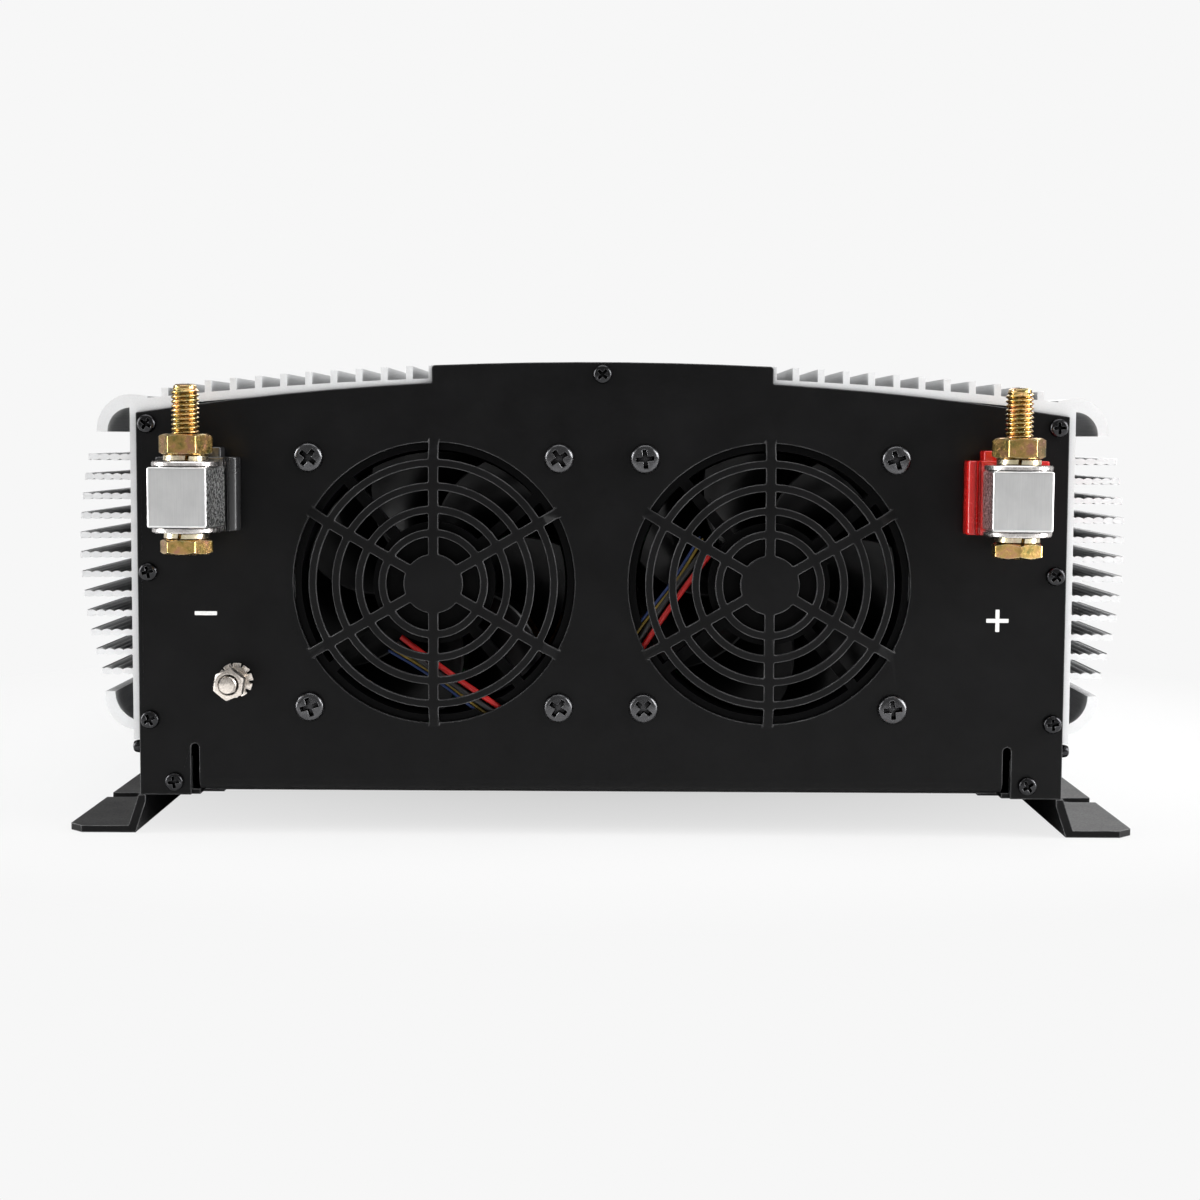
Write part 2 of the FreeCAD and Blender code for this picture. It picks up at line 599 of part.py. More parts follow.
def sweep(name, radius, points):
    """A round wire of this radius along a smooth curve through the points."""
    path = Part.BSplineCurve()
    path.interpolate([Vector(*point) for point in points])
    spine = Part.Wire([path.toShape()])
    first = path.value(path.FirstParameter)
    section = Part.Wire([Part.Circle(first, path.tangent(path.FirstParameter)[0], radius).toShape()])
    item = doc.addObject("Part::Feature", name)
    item.Shape = spine.makePipeShell([section], True, False)
    item.Placement = Placement()
    return item


# ---------------------------------------------------------------- case

DC_FACE = "-case_length / 2 - sheet"
DC_BACK = "-case_length / 2"
AC_BACK = "case_length / 2"
AC_FACE = "case_length / 2 + sheet"


def arc_height(x, crown, shoulder, reach):
    """Height at x of the arc that falls from crown on the centre line to shoulder at reach."""
    drop = crown - shoulder
    radius = (reach * reach + drop * drop) / (2 * drop)
    return crown - radius + math.sqrt(radius * radius - x * x)


def skin_height(x, lift=0.0):
    return arc_height(x, size("skin_crown") + lift, size("shoulder_top") + lift, size("wall_half"))


def housing_skin(owner):
    """The extrusion's closed section: side walls, arched skin and the raised middle."""
    drawing = sketch(owner, "housing_skin", "XZ_Plane")
    wall, foot, leg = size("wall_half"), size("wall_foot"), size("leg_foot")
    inner = wall - size("wall")
    rebate = size("plate_half") - size("sheet")
    crown, thick = size("crown_half"), size("skin_thick")
    middle = (crown + wall) / 2
    under = skin_height(0, -thick)
    raised = size("crown_top")
    side = skin_height(inner, -thick)
    outline(
        drawing,
        (-wall, foot),
        (-wall, size("shoulder_top")),
        ((-middle, skin_height(middle)), (-crown, skin_height(crown))),
        (-crown, size("crown_edge")),
        ((0, raised), (crown, size("crown_edge"))),
        (crown, skin_height(crown)),
        ((middle, skin_height(middle)), (wall, size("shoulder_top"))),
        (wall, foot),
        (rebate, foot),
        (rebate, leg),
        (inner, leg),
        (inner, side),
        ((0, under), (-inner, side)),
        (-inner, leg),
        (-rebate, leg),
        (-rebate, foot),
    )
    pad(owner, drawing, "case_length", symmetric=True)


def housing_fins(owner):
    """Upright fins on the arch and level fins on both walls, all reaching an arc."""
    drawing = sketch(owner, "housing_fins", "XZ_Plane")
    half, root = size("fin_thick") / 2, size("over")
    radius, arc = size("fin_arc"), size("side_arc")
    fins = []
    for i in range(int(size("top_fins"))):
        x = size("top_fin_first") + i * size("top_fin_pitch")
        fins.append((x, size("crown_top") - radius + math.sqrt(radius * radius - x * x)))
    fins.append((size("last_fin"), skin_height(size("last_fin")) + size("last_fin_tall")))
    for side in (-1, 1):
        for x, top in fins:
            rectangle(drawing, side * x - half, skin_height(x) - root, side * x + half, top)
    for i in range(int(size("side_fins"))):
        z = size("side_fin_first") - i * size("side_fin_pitch")
        rise = z - size("side_arc_z")
        tip = size("side_reach") - arc + math.sqrt(arc * arc - rise * rise)
        for side in (-1, 1):
            low, high = sorted((side * (size("wall_half") - root), side * tip))
            rectangle(drawing, low, z - half, high, z + half)
    pad(owner, drawing, "case_length", symmetric=True)


def housing_hooks(owner):
    """The curled edges above and below the side fins, and the block each upper one grows from."""
    drawing = sketch(owner, "housing_hooks", "XZ_Plane")
    wall, root = size("wall_half"), size("over")
    top, tip = size("curl_top"), size("curl_tip")
    reach, thick = size("curl_reach"), size("curl_thick")
    low, rim = size("gutter_foot"), size("gutter_tip")
    deep, lip = size("gutter_reach"), size("gutter_thick")
    for side in (-1, 1):
        outline(
            drawing,
            (side * (wall - size("corner_block")), size("block_foot")),
            (side * (wall - size("corner_block")), size("block_top")),
            ((side * (wall - 0.35 * size("corner_block")), top), (side * (wall + 0.17 * reach), top)),
            ((side * (wall + 0.77 * reach), top - 0.35 * (top - tip)), (side * (wall + reach), tip)),
            (side * (wall + reach - thick), tip),
            (
                (side * (wall + 0.48 * reach), size("curl_inside") - 0.3 * (size("curl_inside") - tip)),
                (side * (wall - root), size("curl_inside")),
            ),
        )
        outline(
            drawing,
            (side * (wall - root), low),
            ((side * (wall + 0.6 * deep), low + 0.22 * (rim - low)), (side * (wall + deep), rim)),
            (side * (wall + deep - lip), rim),
            ((side * (wall + 0.45 * deep), low + 0.54 * (rim - low)), (side * (wall - root), low + lip)),
        )
    pad(owner, drawing, "case_length", symmetric=True)


def housing_gussets(owner):
    """Solid corners between the skin and the walls, behind the end plates' upper corners."""
    drawing = sketch(owner, "housing_gussets", "XZ_Plane")
    outer = size("wall_half") - size("over")
    foot = size("gusset_foot")
    for side in (-1, 1):
        across = sorted((side * size("gusset_inner"), side * outer))
        rectangle(drawing, across[0], foot, across[1], foot + size("gusset_rise"))
    pad(owner, drawing, "case_length", symmetric=True)


def boss_places():
    """Every screw channel of the extrusion, as (x, z)."""
    heights = (size("boss_high"), size("boss_mid"), size("boss_low"))
    sides = [(side * size("boss_x"), z) for side in (-1, 1) for z in heights]
    return [(0.0, size("boss_crown"))] + sides


def upper_housing():
    """Extruded housing with its fins, curled edges and screw channels."""
    owner = body("upper_housing")
    housing_skin(owner)
    housing_fins(owner)
    housing_hooks(owner)
    housing_gussets(owner)
    bosses = sketch(owner, "housing_bosses", "XZ_Plane")
    for x, z in boss_places():
        circle(bosses, x, z, "boss")
    pad(owner, bosses, "case_length", symmetric=True)
    channels = sketch(owner, "housing_channels", "XZ_Plane")
    for x, z in boss_places():
        circle(channels, x, z, "screw_channel")
    pocket(owner, channels)
    side_holes = sketch(owner, "housing_side_holes", "YZ_Plane")
    for y in side_screw_places():
        circle(side_holes, y, size("side_screw_z"), "screw_channel")
    pocket(owner, side_holes)
    node("upper_housing", owner)


def side_screw_places():
    """The screws through each base flange, along the case."""
    end = size("case_length") / 2 - size("side_screw_inset")
    return (-end, -end / 3, end / 3, end)


def base_cover():
    """Folded base: floor set back under the end plates' bends, side flanges and corner tabs."""
    level = ("plate_foot", "plate_foot + sheet")
    pieces = [box("base_floor", around("0", "plate_half"), (DC_BACK, AC_BACK), level)]
    tools = []
    for side in (-1, 1):
        flange = mirrored(side, "plate_half - sheet", "plate_half")
        pieces.append(box("base_flange", flange, (DC_BACK, AC_BACK), ("plate_foot", "wall_foot - fit_gap")))
        for y in side_screw_places():
            tools.append(rod("flange_hole", "X", "screw_hole", (y, "side_screw_z"), flange))
        across = mirrored(side, "tab_inner", "wall_half - wall - fit_gap")
        for end in (-1, 1):
            depth = mirrored(end, f"{AC_BACK} - sheet", AC_BACK)
            pieces.append(box("base_tab", across, depth, ("plate_foot", "base_tab_top")))
            centre = (f"{side} * tab_screw_x", "tab_screw_z")
            tools.append(rod("tab_hole", "Y", "screw_channel", centre, depth))
        for y in rivet_places():
            tools.append(rod("rivet_hole", "Z", "screw_hole", (f"{side} * rivet_x", y), level))
    tools += [rod("standoff_hole", "Z", "screw_hole", place, level) for place in standoff_places()]
    recess_high = ("plate_foot - over", "plate_foot + sheet + over")
    for end in (-1, 1):
        recess = mirrored(end, f"{AC_BACK} - floor_recess", f"{AC_BACK} + over")
        tools.append(box("floor_recess", around("0", "notch_inner"), recess, recess_high))
    node("base_cover", cut("base_cover", fuse("base_folded", pieces), tools))


def rivet_places():
    """The rivets of one rail, along the case."""
    return [i * size("rivet_pitch") for i in (-2, -1, 0, 1, 2)]


def mounting_rail(side, label):
    """Z shaped rail: top flange under the base, leaning web, and a foot flange with open slots."""
    owner = body(label)
    thick, top, over = size("rail_thick"), size("plate_foot"), size("over")
    knee, high = size("rail_knee_x"), size("rail_top_x")
    section = sketch(owner, label + "_section", "XZ_Plane")
    outline(
        section,
        (side * size("rail_inner"), top),
        (side * high, top),
        (side * knee, thick),
        (side * size("rail_outer"), thick),
        (side * size("rail_outer"), 0),
        (side * (knee - thick), 0),
        (side * (high - thick), top - thick),
        (side * size("rail_inner"), top - thick),
    )
    pad(owner, section, "2 * rail_half", symmetric=True)
    openings = sketch(owner, label + "_openings", "XY_Plane")
    outer, radius = size("rail_outer"), size("slot_radius")
    half, chamfer = size("rail_half"), size("rail_chamfer")
    inner = size("slot_inner")
    for end in (-1, 1):
        y = end * size("slot_y")
        outline(
            openings,
            (side * (outer + over), y - radius),
            (side * inner, y - radius),
            ((side * (inner - radius), y), (side * inner, y + radius)),
            (side * (outer + over), y + radius),
        )
        outline(
            openings,
            (side * (outer + over), end * (half - chamfer - over)),
            (side * (outer + over), end * (half + over)),
            (side * (outer - chamfer - over), end * (half + over)),
        )
        across = sorted((side * (size("rail_inner") - over), side * (high - thick)))
        reach = sorted((end * (half - size("rail_setback")), end * (half + over)))
        rectangle(openings, across[0], reach[0], across[1], reach[1])
    for y in rivet_places():
        circle(openings, side * size("rivet_x"), y, "screw_hole")
    pocket(owner, openings)
    node(label, owner)


def plate_blank(name, role_face, backwards):
    """An end plate's flat: arched top with a raised middle, bottom tabs and relief notches."""
    owner = body(name)
    drawing = sketch(owner, name + "_outline", "XZ_Plane", role_face)
    half, foot, corner = size("plate_half"), size("plate_foot"), size("plate_corner")
    crown = size("crown_half") - size("crown_inset")
    inner, notch, notch_top = size("tab_inner"), size("notch_inner"), size("notch_top")
    bend = size("plate_foot") + size("sheet") + size("bend_radius")
    middle = (crown + half) / 2
    relief = (inner - notch) / 2

    def edge(x):
        return arc_height(x, size("plate_crown"), corner, half)

    raised = size("crown_top")
    step, rounding = size("crown_edge"), size("crown_round")
    mid_arc = rounding * (1 - math.sqrt(0.5))
    outline(
        drawing,
        (-half, foot),
        (-half, corner),
        ((-middle, edge(middle)), (-crown, edge(crown))),
        (-crown, step - rounding),
        ((-crown + mid_arc, step - mid_arc), (-crown + rounding, step)),
        ((0, raised), (crown - rounding, step)),
        ((crown - mid_arc, step - mid_arc), (crown, step - rounding)),
        (crown, edge(crown)),
        ((middle, edge(middle)), (half, corner)),
        (half, foot),
        (inner, foot),
        (inner, notch_top),
        ((notch + relief, notch_top + relief), (notch, notch_top)),
        (notch, bend),
        (-notch, bend),
        (-notch, notch_top),
        ((-notch - relief, notch_top + relief), (-inner, notch_top)),
        (-inner, foot),
    )
    pad(owner, drawing, "sheet", backwards=backwards)
    return owner


def plate_lip(name, end):
    """The bottom edge of an end plate: a quarter bend and a lip lying on the base's floor."""
    width = around("0", "notch_inner")
    bend_line = f"{AC_FACE} - bend_radius"
    low = "plate_foot + sheet"
    axis = (f"{end} * ({bend_line})", f"{low} + bend_radius")
    outer = rod(name + "_bend", "X", "bend_radius", axis, width)
    inner = rod(name + "_bend_inside", "X", "bend_radius - sheet", axis, width)
    reach = mirrored(end, f"{AC_BACK} - lip_depth", bend_line)
    lip = box(name + "_lip", width, reach, (low, f"{low} + sheet"))
    quarter = (f"{low} - over", f"{low} + bend_radius")
    keep = box(name + "_quarter", width, mirrored(end, bend_line, f"{AC_FACE} + over"), quarter)
    return [common(name + "_quarter_bend", cut(name + "_ring", outer, [inner]), keep), lip]


def plate_screw_places():
    """Every screw of an end plate, as (x, z) formulas."""
    heights = ("boss_high", "boss_mid", "boss_low")
    bosses = [(f"{side} * boss_x", z) for side in (-1, 1) for z in heights]
    tabs = [(f"{side} * tab_screw_x", "tab_screw_z") for side in (-1, 1)]
    return [("0", "boss_crown")] + bosses + tabs


def fan_hole_places(side):
    """The four fixing holes of a fan, as (x, z) formulas."""
    across = [f"{side} * fan_x + {i} * fan_hole" for i in (-1, 1)]
    up = [f"fan_z + {i} * fan_hole" for i in (-1, 1)]
    return [(x, z) for x in across for z in up]


def grille(side):
    """A grille pressed out of the plate: rings and spokes cut from a shallow dome."""
    name = "grille_left" if side < 0 else "grille_right"
    centre = (f"{side} * fan_x", "fan_z")
    slope = "(grille_rim - grille_crown) / grille_rise"
    back_radius = f"grille_rim + sheet * {slope}"
    top = f"{DC_FACE} - grille_rise"
    outer = cone(name + "_dome", "Y", ("grille_crown", back_radius), centre, (top, DC_BACK))
    shifted = (f"{top} + sheet", f"{DC_BACK} + sheet")
    inner = cone(name + "_hollow", "Y", ("grille_crown", back_radius), centre, shifted)
    span = (f"{top} - over", f"{DC_BACK} + over")
    pattern = [rod(name + "_hub", "Y", "grille_hub", centre, span)]
    for i in range(int(size("rings"))):
        middle = f"ring_first + {i} * ring_pitch"
        big = rod(name + "_ring", "Y", f"{middle} + ring_wide / 2", centre, span)
        small = rod(name + "_ring_hole", "Y", f"{middle} - ring_wide / 2", centre, span)
        pattern.append(cut(name + "_ring_band", big, [small]))
    for i in range(int(size("spokes") / 2)):
        bar = box(name + "_spoke", around("0", "spoke_wide / 2"), span, around("0", "grille_rim"))
        turn = Rotation(Vector(0, 1, 0), i * 360 / size("spokes"))
        bar.setExpression("Placement", None)
        bar.Placement = Placement(Vector(), turn)
        corner = turn.multVec(Vector(-size("spoke_wide") / 2, 0, -size("grille_rim")))
        put(bar, f"{side} * fan_x + ({corner.x})", span[0], f"fan_z + ({corner.z})")
        pattern.append(bar)
    web = fuse(name + "_web", pattern)
    return common(name, cut(name + "_shell", outer, [inner]), web)


def dc_end_plate():
    """DC end plate with its two grilles and the holes for terminals, ground stud and screws."""
    blank = plate_blank("dc_plate", AC_BACK, False)
    through = (f"{DC_FACE} - over", f"{DC_BACK} + over")
    tools = [rod("dc_hole", "Y", "screw_hole", place, through) for place in plate_screw_places()]
    for side in (-1, 1):
        tools.append(rod("fan_opening", "Y", "grille_opening", (f"{side} * fan_x", "fan_z"), through))
        tools += [rod("fan_hole", "Y", "fan_fixing", place, through) for place in fan_hole_places(side)]
        wide = around(f"{side} * terminal_x", "bar_wide / 2 + collar_wall + collar_play")
        tall = around("terminal_z", "collar_tall / 2 + collar_play")
        tools.append(box("bar_opening", wide, through, tall))
    tools.append(rod("ground_hole", "Y", "ground_free + fit_gap", ("ground_x", "ground_z"), through))
    flat = cut("dc_flat", blank, tools)
    pieces = [flat, grille(-1), grille(1)] + plate_lip("dc", -1)
    node("dc_end_plate", fuse("dc_end_plate", pieces))


def ac_end_plate():
    """AC end plate with the cut-outs for its fittings and a row of intake slots."""
    blank = plate_blank("ac_plate", DC_BACK, True)
    through = (f"{AC_BACK} - over", f"{AC_FACE} + over")
    tools = [rod("ac_hole", "Y", "screw_hole", place, through) for place in plate_screw_places()]
    openings = [
        ("switch_x", "switch_wide / 2", "switch_z", "switch_tall / 2"),
        ("switch_x", "usb_wide / 2 + port_gap", "usb_z", "usb_tall / 2 + port_gap"),
        ("switch_x", "remote_wide / 2 + fit_gap", "remote_z", "remote_tall / 2 + fit_gap"),
        ("cover_x", "cover_wide / 2", "cover_z", "cable_opening / 2"),
    ]
    for side in (-1, 1):
        wide, tall = "outlet_wide / 2 - outlet_rim", "outlet_tall / 2 - outlet_rim"
        openings.append((f"{side} * outlet_x", wide, "outlet_z", tall))
    for i in range(int(size("vents"))):
        x = f"({i} - (vents - 1) / 2) * vent_pitch"
        openings.append((x, "vent_wide / 2", "(vent_low + vent_high) / 2", "(vent_high - vent_low) / 2"))
    for x, wide, z, tall in openings:
        tools.append(box("ac_opening", around(x, wide), through, around(z, tall)))
    for z in ("breaker_high", "breaker_low"):
        tools.append(rod("breaker_opening", "Y", "collar_hole", ("breaker_x", z), through))
    for side in (-1, 1):
        tools.append(rod("lamp_opening", "Y", "lamp_hole", lamp_place(side), through))
        tools.append(rod("cover_hole", "Y", "screw_hole", cover_screw_place(side), through))
    flat = cut("ac_flat", blank, tools)
    node("ac_end_plate", fuse("ac_end_plate", [flat] + plate_lip("ac", 1)))


def pan_screw(name, axis, place, face, outward, head, shank):
    """A pan head screw. Its head stands on a face and its shank runs inward from it.

    Head and shank are each a radius and a length.
    """
    top = mirrored(outward, f"{outward} * ({face})", f"{outward} * ({face}) + {head[1]}")
    inside = mirrored(outward, f"{outward} * ({face}) - {shank[1]}", f"{outward} * ({face})")
    return fuse(name, [
        rod(name + "_head", axis, head[0], place, top),
        rod(name + "_shank", axis, shank[0], place, inside),
    ])


CASE_HEAD = ("screw_head", "screw_head_tall")
CASE_SHANK = ("screw_shank", "screw_long")


def case_screws():
    """Screws of both end plates and of the base flanges, and the rivets of the rails."""
    for name, face, outward in (("dc_plate_screws", DC_FACE, -1), ("ac_plate_screws", AC_FACE, 1)):
        screws = []
        for place in plate_screw_places():
            screws.append(pan_screw("plate_screw", "Y", place, face, outward, CASE_HEAD, CASE_SHANK))
        node(name, group(name, screws))
    flank, rivets = [], []
    low, high = "plate_foot - rail_thick", "plate_foot + sheet"
    for side in (-1, 1):
        for y in side_screw_places():
            head, shank = ("side_head", "side_head_tall"), ("screw_shank", "short_screw")
            face = f"{side} * plate_half"
            flank.append(pan_screw("side_screw", "X", (y, "side_screw_z"), face, side, head, shank))
        for y in rivet_places():
            place = (f"{side} * rivet_x", y)
            rivets.append(fuse("rivet", [
                rod("rivet_head", "Z", "rivet_head", place, (f"{low} - rivet_tall", low)),
                rod("rivet_tail", "Z", "rivet_tail", place, (high, f"{high} + rivet_tall")),
                rod("rivet_stem", "Z", "rivet_stem", place, (low, high)),
            ]))
    node("base_side_screws", group("base_side_screws", flank))
    node("rail_rivets", group("rail_rivets", rivets))


# ---------------------------------------------------------------- DC terminals

BLOCK_LOW = "terminal_z - block_side / 2"
BLOCK_HIGH = "terminal_z + block_side / 2"
BLOCK_BACK = f"{DC_FACE} - insulator_deep"
BOLT_Y = f"{BLOCK_BACK} - block_deep / 2"


def terminal_insulator(side, label):
    """Moulded insulator between plate and block: grooved front, tab on top, collar in the plate."""
    span = mirrored(side, "insulator_inner", "insulator_outer")
    tab = mirrored(side, "insulator_inner + tab_inset", "insulator_outer - tab_outset")
    above = ("insulator_high", "insulator_high + insulator_tab")
    x = f"{side} * terminal_x"
    collar_deep = (DC_FACE, f"{DC_BACK} + collar_long")
    collar_wide = around(x, "bar_wide / 2 + collar_wall")
    collar_high = around("terminal_z", "collar_tall / 2")
    pieces = [
        box(label + "_slab", span, (BLOCK_BACK, DC_FACE), ("insulator_low", "insulator_high")),
        box(label + "_tab", tab, (f"{BLOCK_BACK} + over", DC_FACE), above),
        box(label + "_collar", collar_wide, collar_deep, collar_high),
    ]
    depth = (f"{BLOCK_BACK} - over", f"{DC_BACK} + collar_long + over")
    tools = [box(label + "_slot", around(x, "bar_wide / 2"), depth, around("terminal_z", "bar_thick / 2"))]
    groove_deep = (f"{BLOCK_BACK} - over", f"{BLOCK_BACK} + rib_deep")
    groove_high = ("insulator_low - over", "insulator_high + over")
    for i in range(int(size("ribs"))):
        groove_x = f"{side} * (insulator_inner + rib_inset + {i} * rib_pitch)"
        tools.append(box(label + "_groove", around(groove_x, "rib_gap / 2"), groove_deep, groove_high))
    node(label, cut(label, fuse(label + "_blank", pieces), tools))


def terminal_block(side, label):
    """Plated brass block with rounded edges and an upright hole for the terminal bolt."""
    owner = body(label)
    face = sketch(owner, label + "_top", "XY_Plane", BLOCK_LOW)
    x, half = side * size("terminal_x"), size("block_side") / 2
    back = -size("case_length") / 2 - size("sheet") - size("insulator_deep")
    front, rounding = back - size("block_deep"), size("block_round")
    mid_arc = rounding * (1 - math.sqrt(0.5))
    outline(
        face,
        (x - half, back),
        (x - half, front + rounding),
        ((x - half + mid_arc, front + mid_arc), (x - half + rounding, front)),
        (x + half - rounding, front),
        ((x + half - mid_arc, front + mid_arc), (x + half, front + rounding)),
        (x + half, back),
    )
    circle(face, x, back - size("block_deep") / 2, "stud_hole")
    pad(owner, face, "block_side")
    node(label, owner)


def terminal_hardware():
    """Upright M8 bolts with a spring washer and a flat washer below and above each block.

    Inside its nut a bolt has the radius that the two threads share.
    """
    bolts, nuts, springs, flats = [], [], [], []
    lower_flat = f"{BLOCK_LOW} - flat_washer"
    lower_spring = f"{lower_flat} - spring_washer"
    upper_flat = f"{BLOCK_HIGH} + flat_washer"
    upper_spring = f"{upper_flat} + spring_washer"
    nut_span = (upper_spring, f"{upper_spring} + stud_nut")
    for side in (-1, 1):
        place = (f"{side} * terminal_x", BOLT_Y)
        bolts.append(fuse("terminal_bolt", [
            hexagon("bolt_head", "Z", "stud_flats", place, (f"{lower_spring} - stud_head", lower_spring)),
            rod("bolt_shank", "Z", "stud", place, (lower_spring, upper_spring)),
            rod("bolt_grip", "Z", "stud_grip", place, nut_span),
            rod("bolt_free_end", "Z", "stud", place, (nut_span[1], "stud_end")),
        ]))
        nut = hexagon("nut_blank", "Z", "stud_flats", place, nut_span)
        bore = rod("nut_bore", "Z", "stud_grip + thread_play", place, nut_span)
        nuts.append(cut("terminal_nut", nut, [bore]))
        for span in ((lower_spring, lower_flat), (upper_flat, upper_spring)):
            springs.append(washer("spring_ring", "Z", "spring_washer_radius", "stud + fit_gap", place, span))
        for span in ((lower_flat, BLOCK_LOW), (BLOCK_HIGH, upper_flat)):
            flats.append(washer("flat_ring", "Z", "flat_washer_radius", "stud + fit_gap", place, span))
    node("terminal_bolts", group("terminal_bolts", bolts))
    node("terminal_nuts", group("terminal_nuts", nuts))
    node("terminal_spring_washers", group("terminal_spring_washers", springs))
    node("terminal_flat_washers", group("terminal_flat_washers", flats))


def washer(name, axis, outer, inner, place, span):
    """A flat ring."""
    disc = rod(name + "_disc", axis, outer, place, span)
    return cut(name, disc, [rod(name + "_bore", axis, inner, place, span)])


def ground_hardware():
    """Ground stud: a bolt from inside the plate, two star washers and a nut near its end."""
    place = ("ground_x", "ground_z")
    near = f"{DC_FACE} - ground_nut_gap"
    far = f"{near} - ground_nut_tall"
    node("ground_stud", fuse("ground_stud", [
        hexagon("ground_head", "Y", "ground_flats", place, (DC_BACK, f"{DC_BACK} + ground_head")),
        rod("ground_shank", "Y", "ground_free", place, (near, DC_BACK)),
        rod("ground_grip", "Y", "ground_grip", place, (far, near)),
        rod("ground_free_end", "Y", "ground_free", place, (f"{DC_FACE} - ground_reach", far)),
    ]))
    blank = hexagon("ground_nut_blank", "Y", "ground_flats", place, (far, near))
    bore = rod("ground_nut_bore", "Y", "ground_grip + thread_play", place, (far, near))
    node("ground_nut", cut("ground_nut", blank, [bore]))
    stars = []
    for i in range(2):
        span = (f"{DC_FACE} - {i + 1} * star_washer", f"{DC_FACE} - {i} * star_washer")
        stars.append(washer("star_ring", "Y", "star_radius", "ground_free + thread_play", place, span))
    node("ground_lock_washers", group("ground_lock_washers", stars))


# ---------------------------------------------------------------- fans

FAN_FRONT = DC_BACK
FAN_REAR = f"{DC_BACK} + fan_deep"


def fan_frame(side, label):
    """Square frame: two corner flanges, a round duct, and a motor mount carried by four struts."""
    centre = (f"{side} * fan_x", "fan_z")
    wide, tall = around(centre[0], "fan_size / 2"), around("fan_z", "fan_size / 2")
    shell = fuse(label + "_shell", [
        box(label + "_front", wide, (FAN_FRONT, f"{FAN_FRONT} + fan_flange"), tall),
        box(label + "_rear", wide, (f"{FAN_REAR} - fan_flange", FAN_REAR), tall),
        rod(label + "_duct", "Y", "fan_bore + duct_wall", centre, (FAN_FRONT, FAN_REAR)),
    ])
    tools = [rod(label + "_bore", "Y", "fan_bore", centre, (f"{FAN_FRONT} - over", f"{FAN_REAR} + over"))]
    for place in fan_hole_places(side):
        tools.append(rod(label + "_hole", "Y", "fan_fixing", place, (FAN_FRONT, FAN_REAR)))
    run = (size("exit_start"), size("exit_end"))
    edge = -size("lead_beside") - size("exit_wide") / 2
    angle = fan_turn(side, "lead_clock")
    tools.append(fan_bar(label + "_exit", side, angle, run, edge, "exit_wide", "exit_deep"))
    pieces = [
        cut(label + "_ring", shell, tools),
        rod(label + "_mount", "Y", "motor_radius", centre, (FAN_FRONT, f"{FAN_FRONT} + strut")),
        rod(label + "_tube", "Y", "bearing_tube", centre, (FAN_FRONT, f"{FAN_REAR} - tube_short")),
    ]
    reach = (size("motor_radius") - 2 * size("over"), size("fan_bore") + size("over"))
    edge = -size("strut_wide") / 2
    for i in range(4):
        angle = fan_turn(side, "strut_clock") + 90 * i
        pieces.append(fan_bar(label + "_strut", side, angle, reach, edge, "strut_wide", "strut"))
    bore = rod(label + "_bearing", "Y", "shaft + bearing_play", centre, (f"{FAN_FRONT} + over", FAN_REAR))
    node(label, cut(label, fuse(label + "_solid", pieces), [bore]))


def fan_turn(side, name):
    """A direction in a fan's plane; the right fan is a quarter turn behind the left one."""
    return size(name) if side < 0 else size(name) - 90


def fan_bar(name, side, angle, reach, edge, wide, deep):
    """A bar at the front of a fan's frame: its reach along a direction, its edge beside it, its section."""
    item = doc.addObject("Part::Box", name)
    bind(item, Length=reach[1] - reach[0], Width=deep, Height=wide)
    turn = Rotation(Vector(0, 1, 0), -angle)
    item.Placement = Placement(Vector(), turn)
    corner = turn.multVec(Vector(reach[0], 0, edge))
    put(item, f"{side} * fan_x + ({corner.x})", FAN_FRONT, f"fan_z + ({corner.z})")
    return item


def fan_rotor(side, label):
    """Rotor: a cup over the motor, a shaft in the bearing tube and swept, pitched blades."""
    centre = (f"{side} * fan_x", "fan_z")
    start = f"{FAN_FRONT} + strut + rotor_gap"
    rear = f"{FAN_REAR} - rotor_inset"
    cup = rod(label + "_cup", "Y", "rotor_hub", centre, (start, rear))
    hollow = rod(label + "_hollow", "Y", "rotor_hub - cup_wall", centre, (start, f"{rear} - cup_floor"))
    shaft = rod(label + "_shaft", "Y", "shaft", centre, (f"{FAN_FRONT} + over + fit_gap", rear))
    pieces = [cut(label + "_hub", cup, [hollow]), shaft]
    for i in range(int(size("blades"))):
        pieces.append(blade(label, side, i * 360 / size("blades")))
    envelope = rod(label + "_envelope", "Y", "rotor_tip", centre, (FAN_FRONT, FAN_REAR))
    node(label, common(label, fuse(label + "_whole", pieces), envelope))


# A blade at its root, its middle and its tip: radius, how far it runs round the axis from front to
# rear, and how far it is swept back in degrees.
BLADE_STATIONS = (
    (size("rotor_hub") - 0.5, 13.5, 0.0),
    (27.0, 23.0, 9.0),
    (size("rotor_tip"), 31.0, 20.0),
)


def blade(label, side, angle):
    """One blade: a thin cambered sheet lofted from the hub to the tip, swept back as it goes out."""
    item = doc.addObject("Part::Feature", label + "_blade")
    item.Shape = Part.makeLoft([blade_section(*station) for station in BLADE_STATIONS], True, False)
    item.Placement = Placement(Vector(), Rotation(Vector(0, 1, 0), angle))
    put(item, f"{side} * fan_x", 0, "fan_z")
    return item


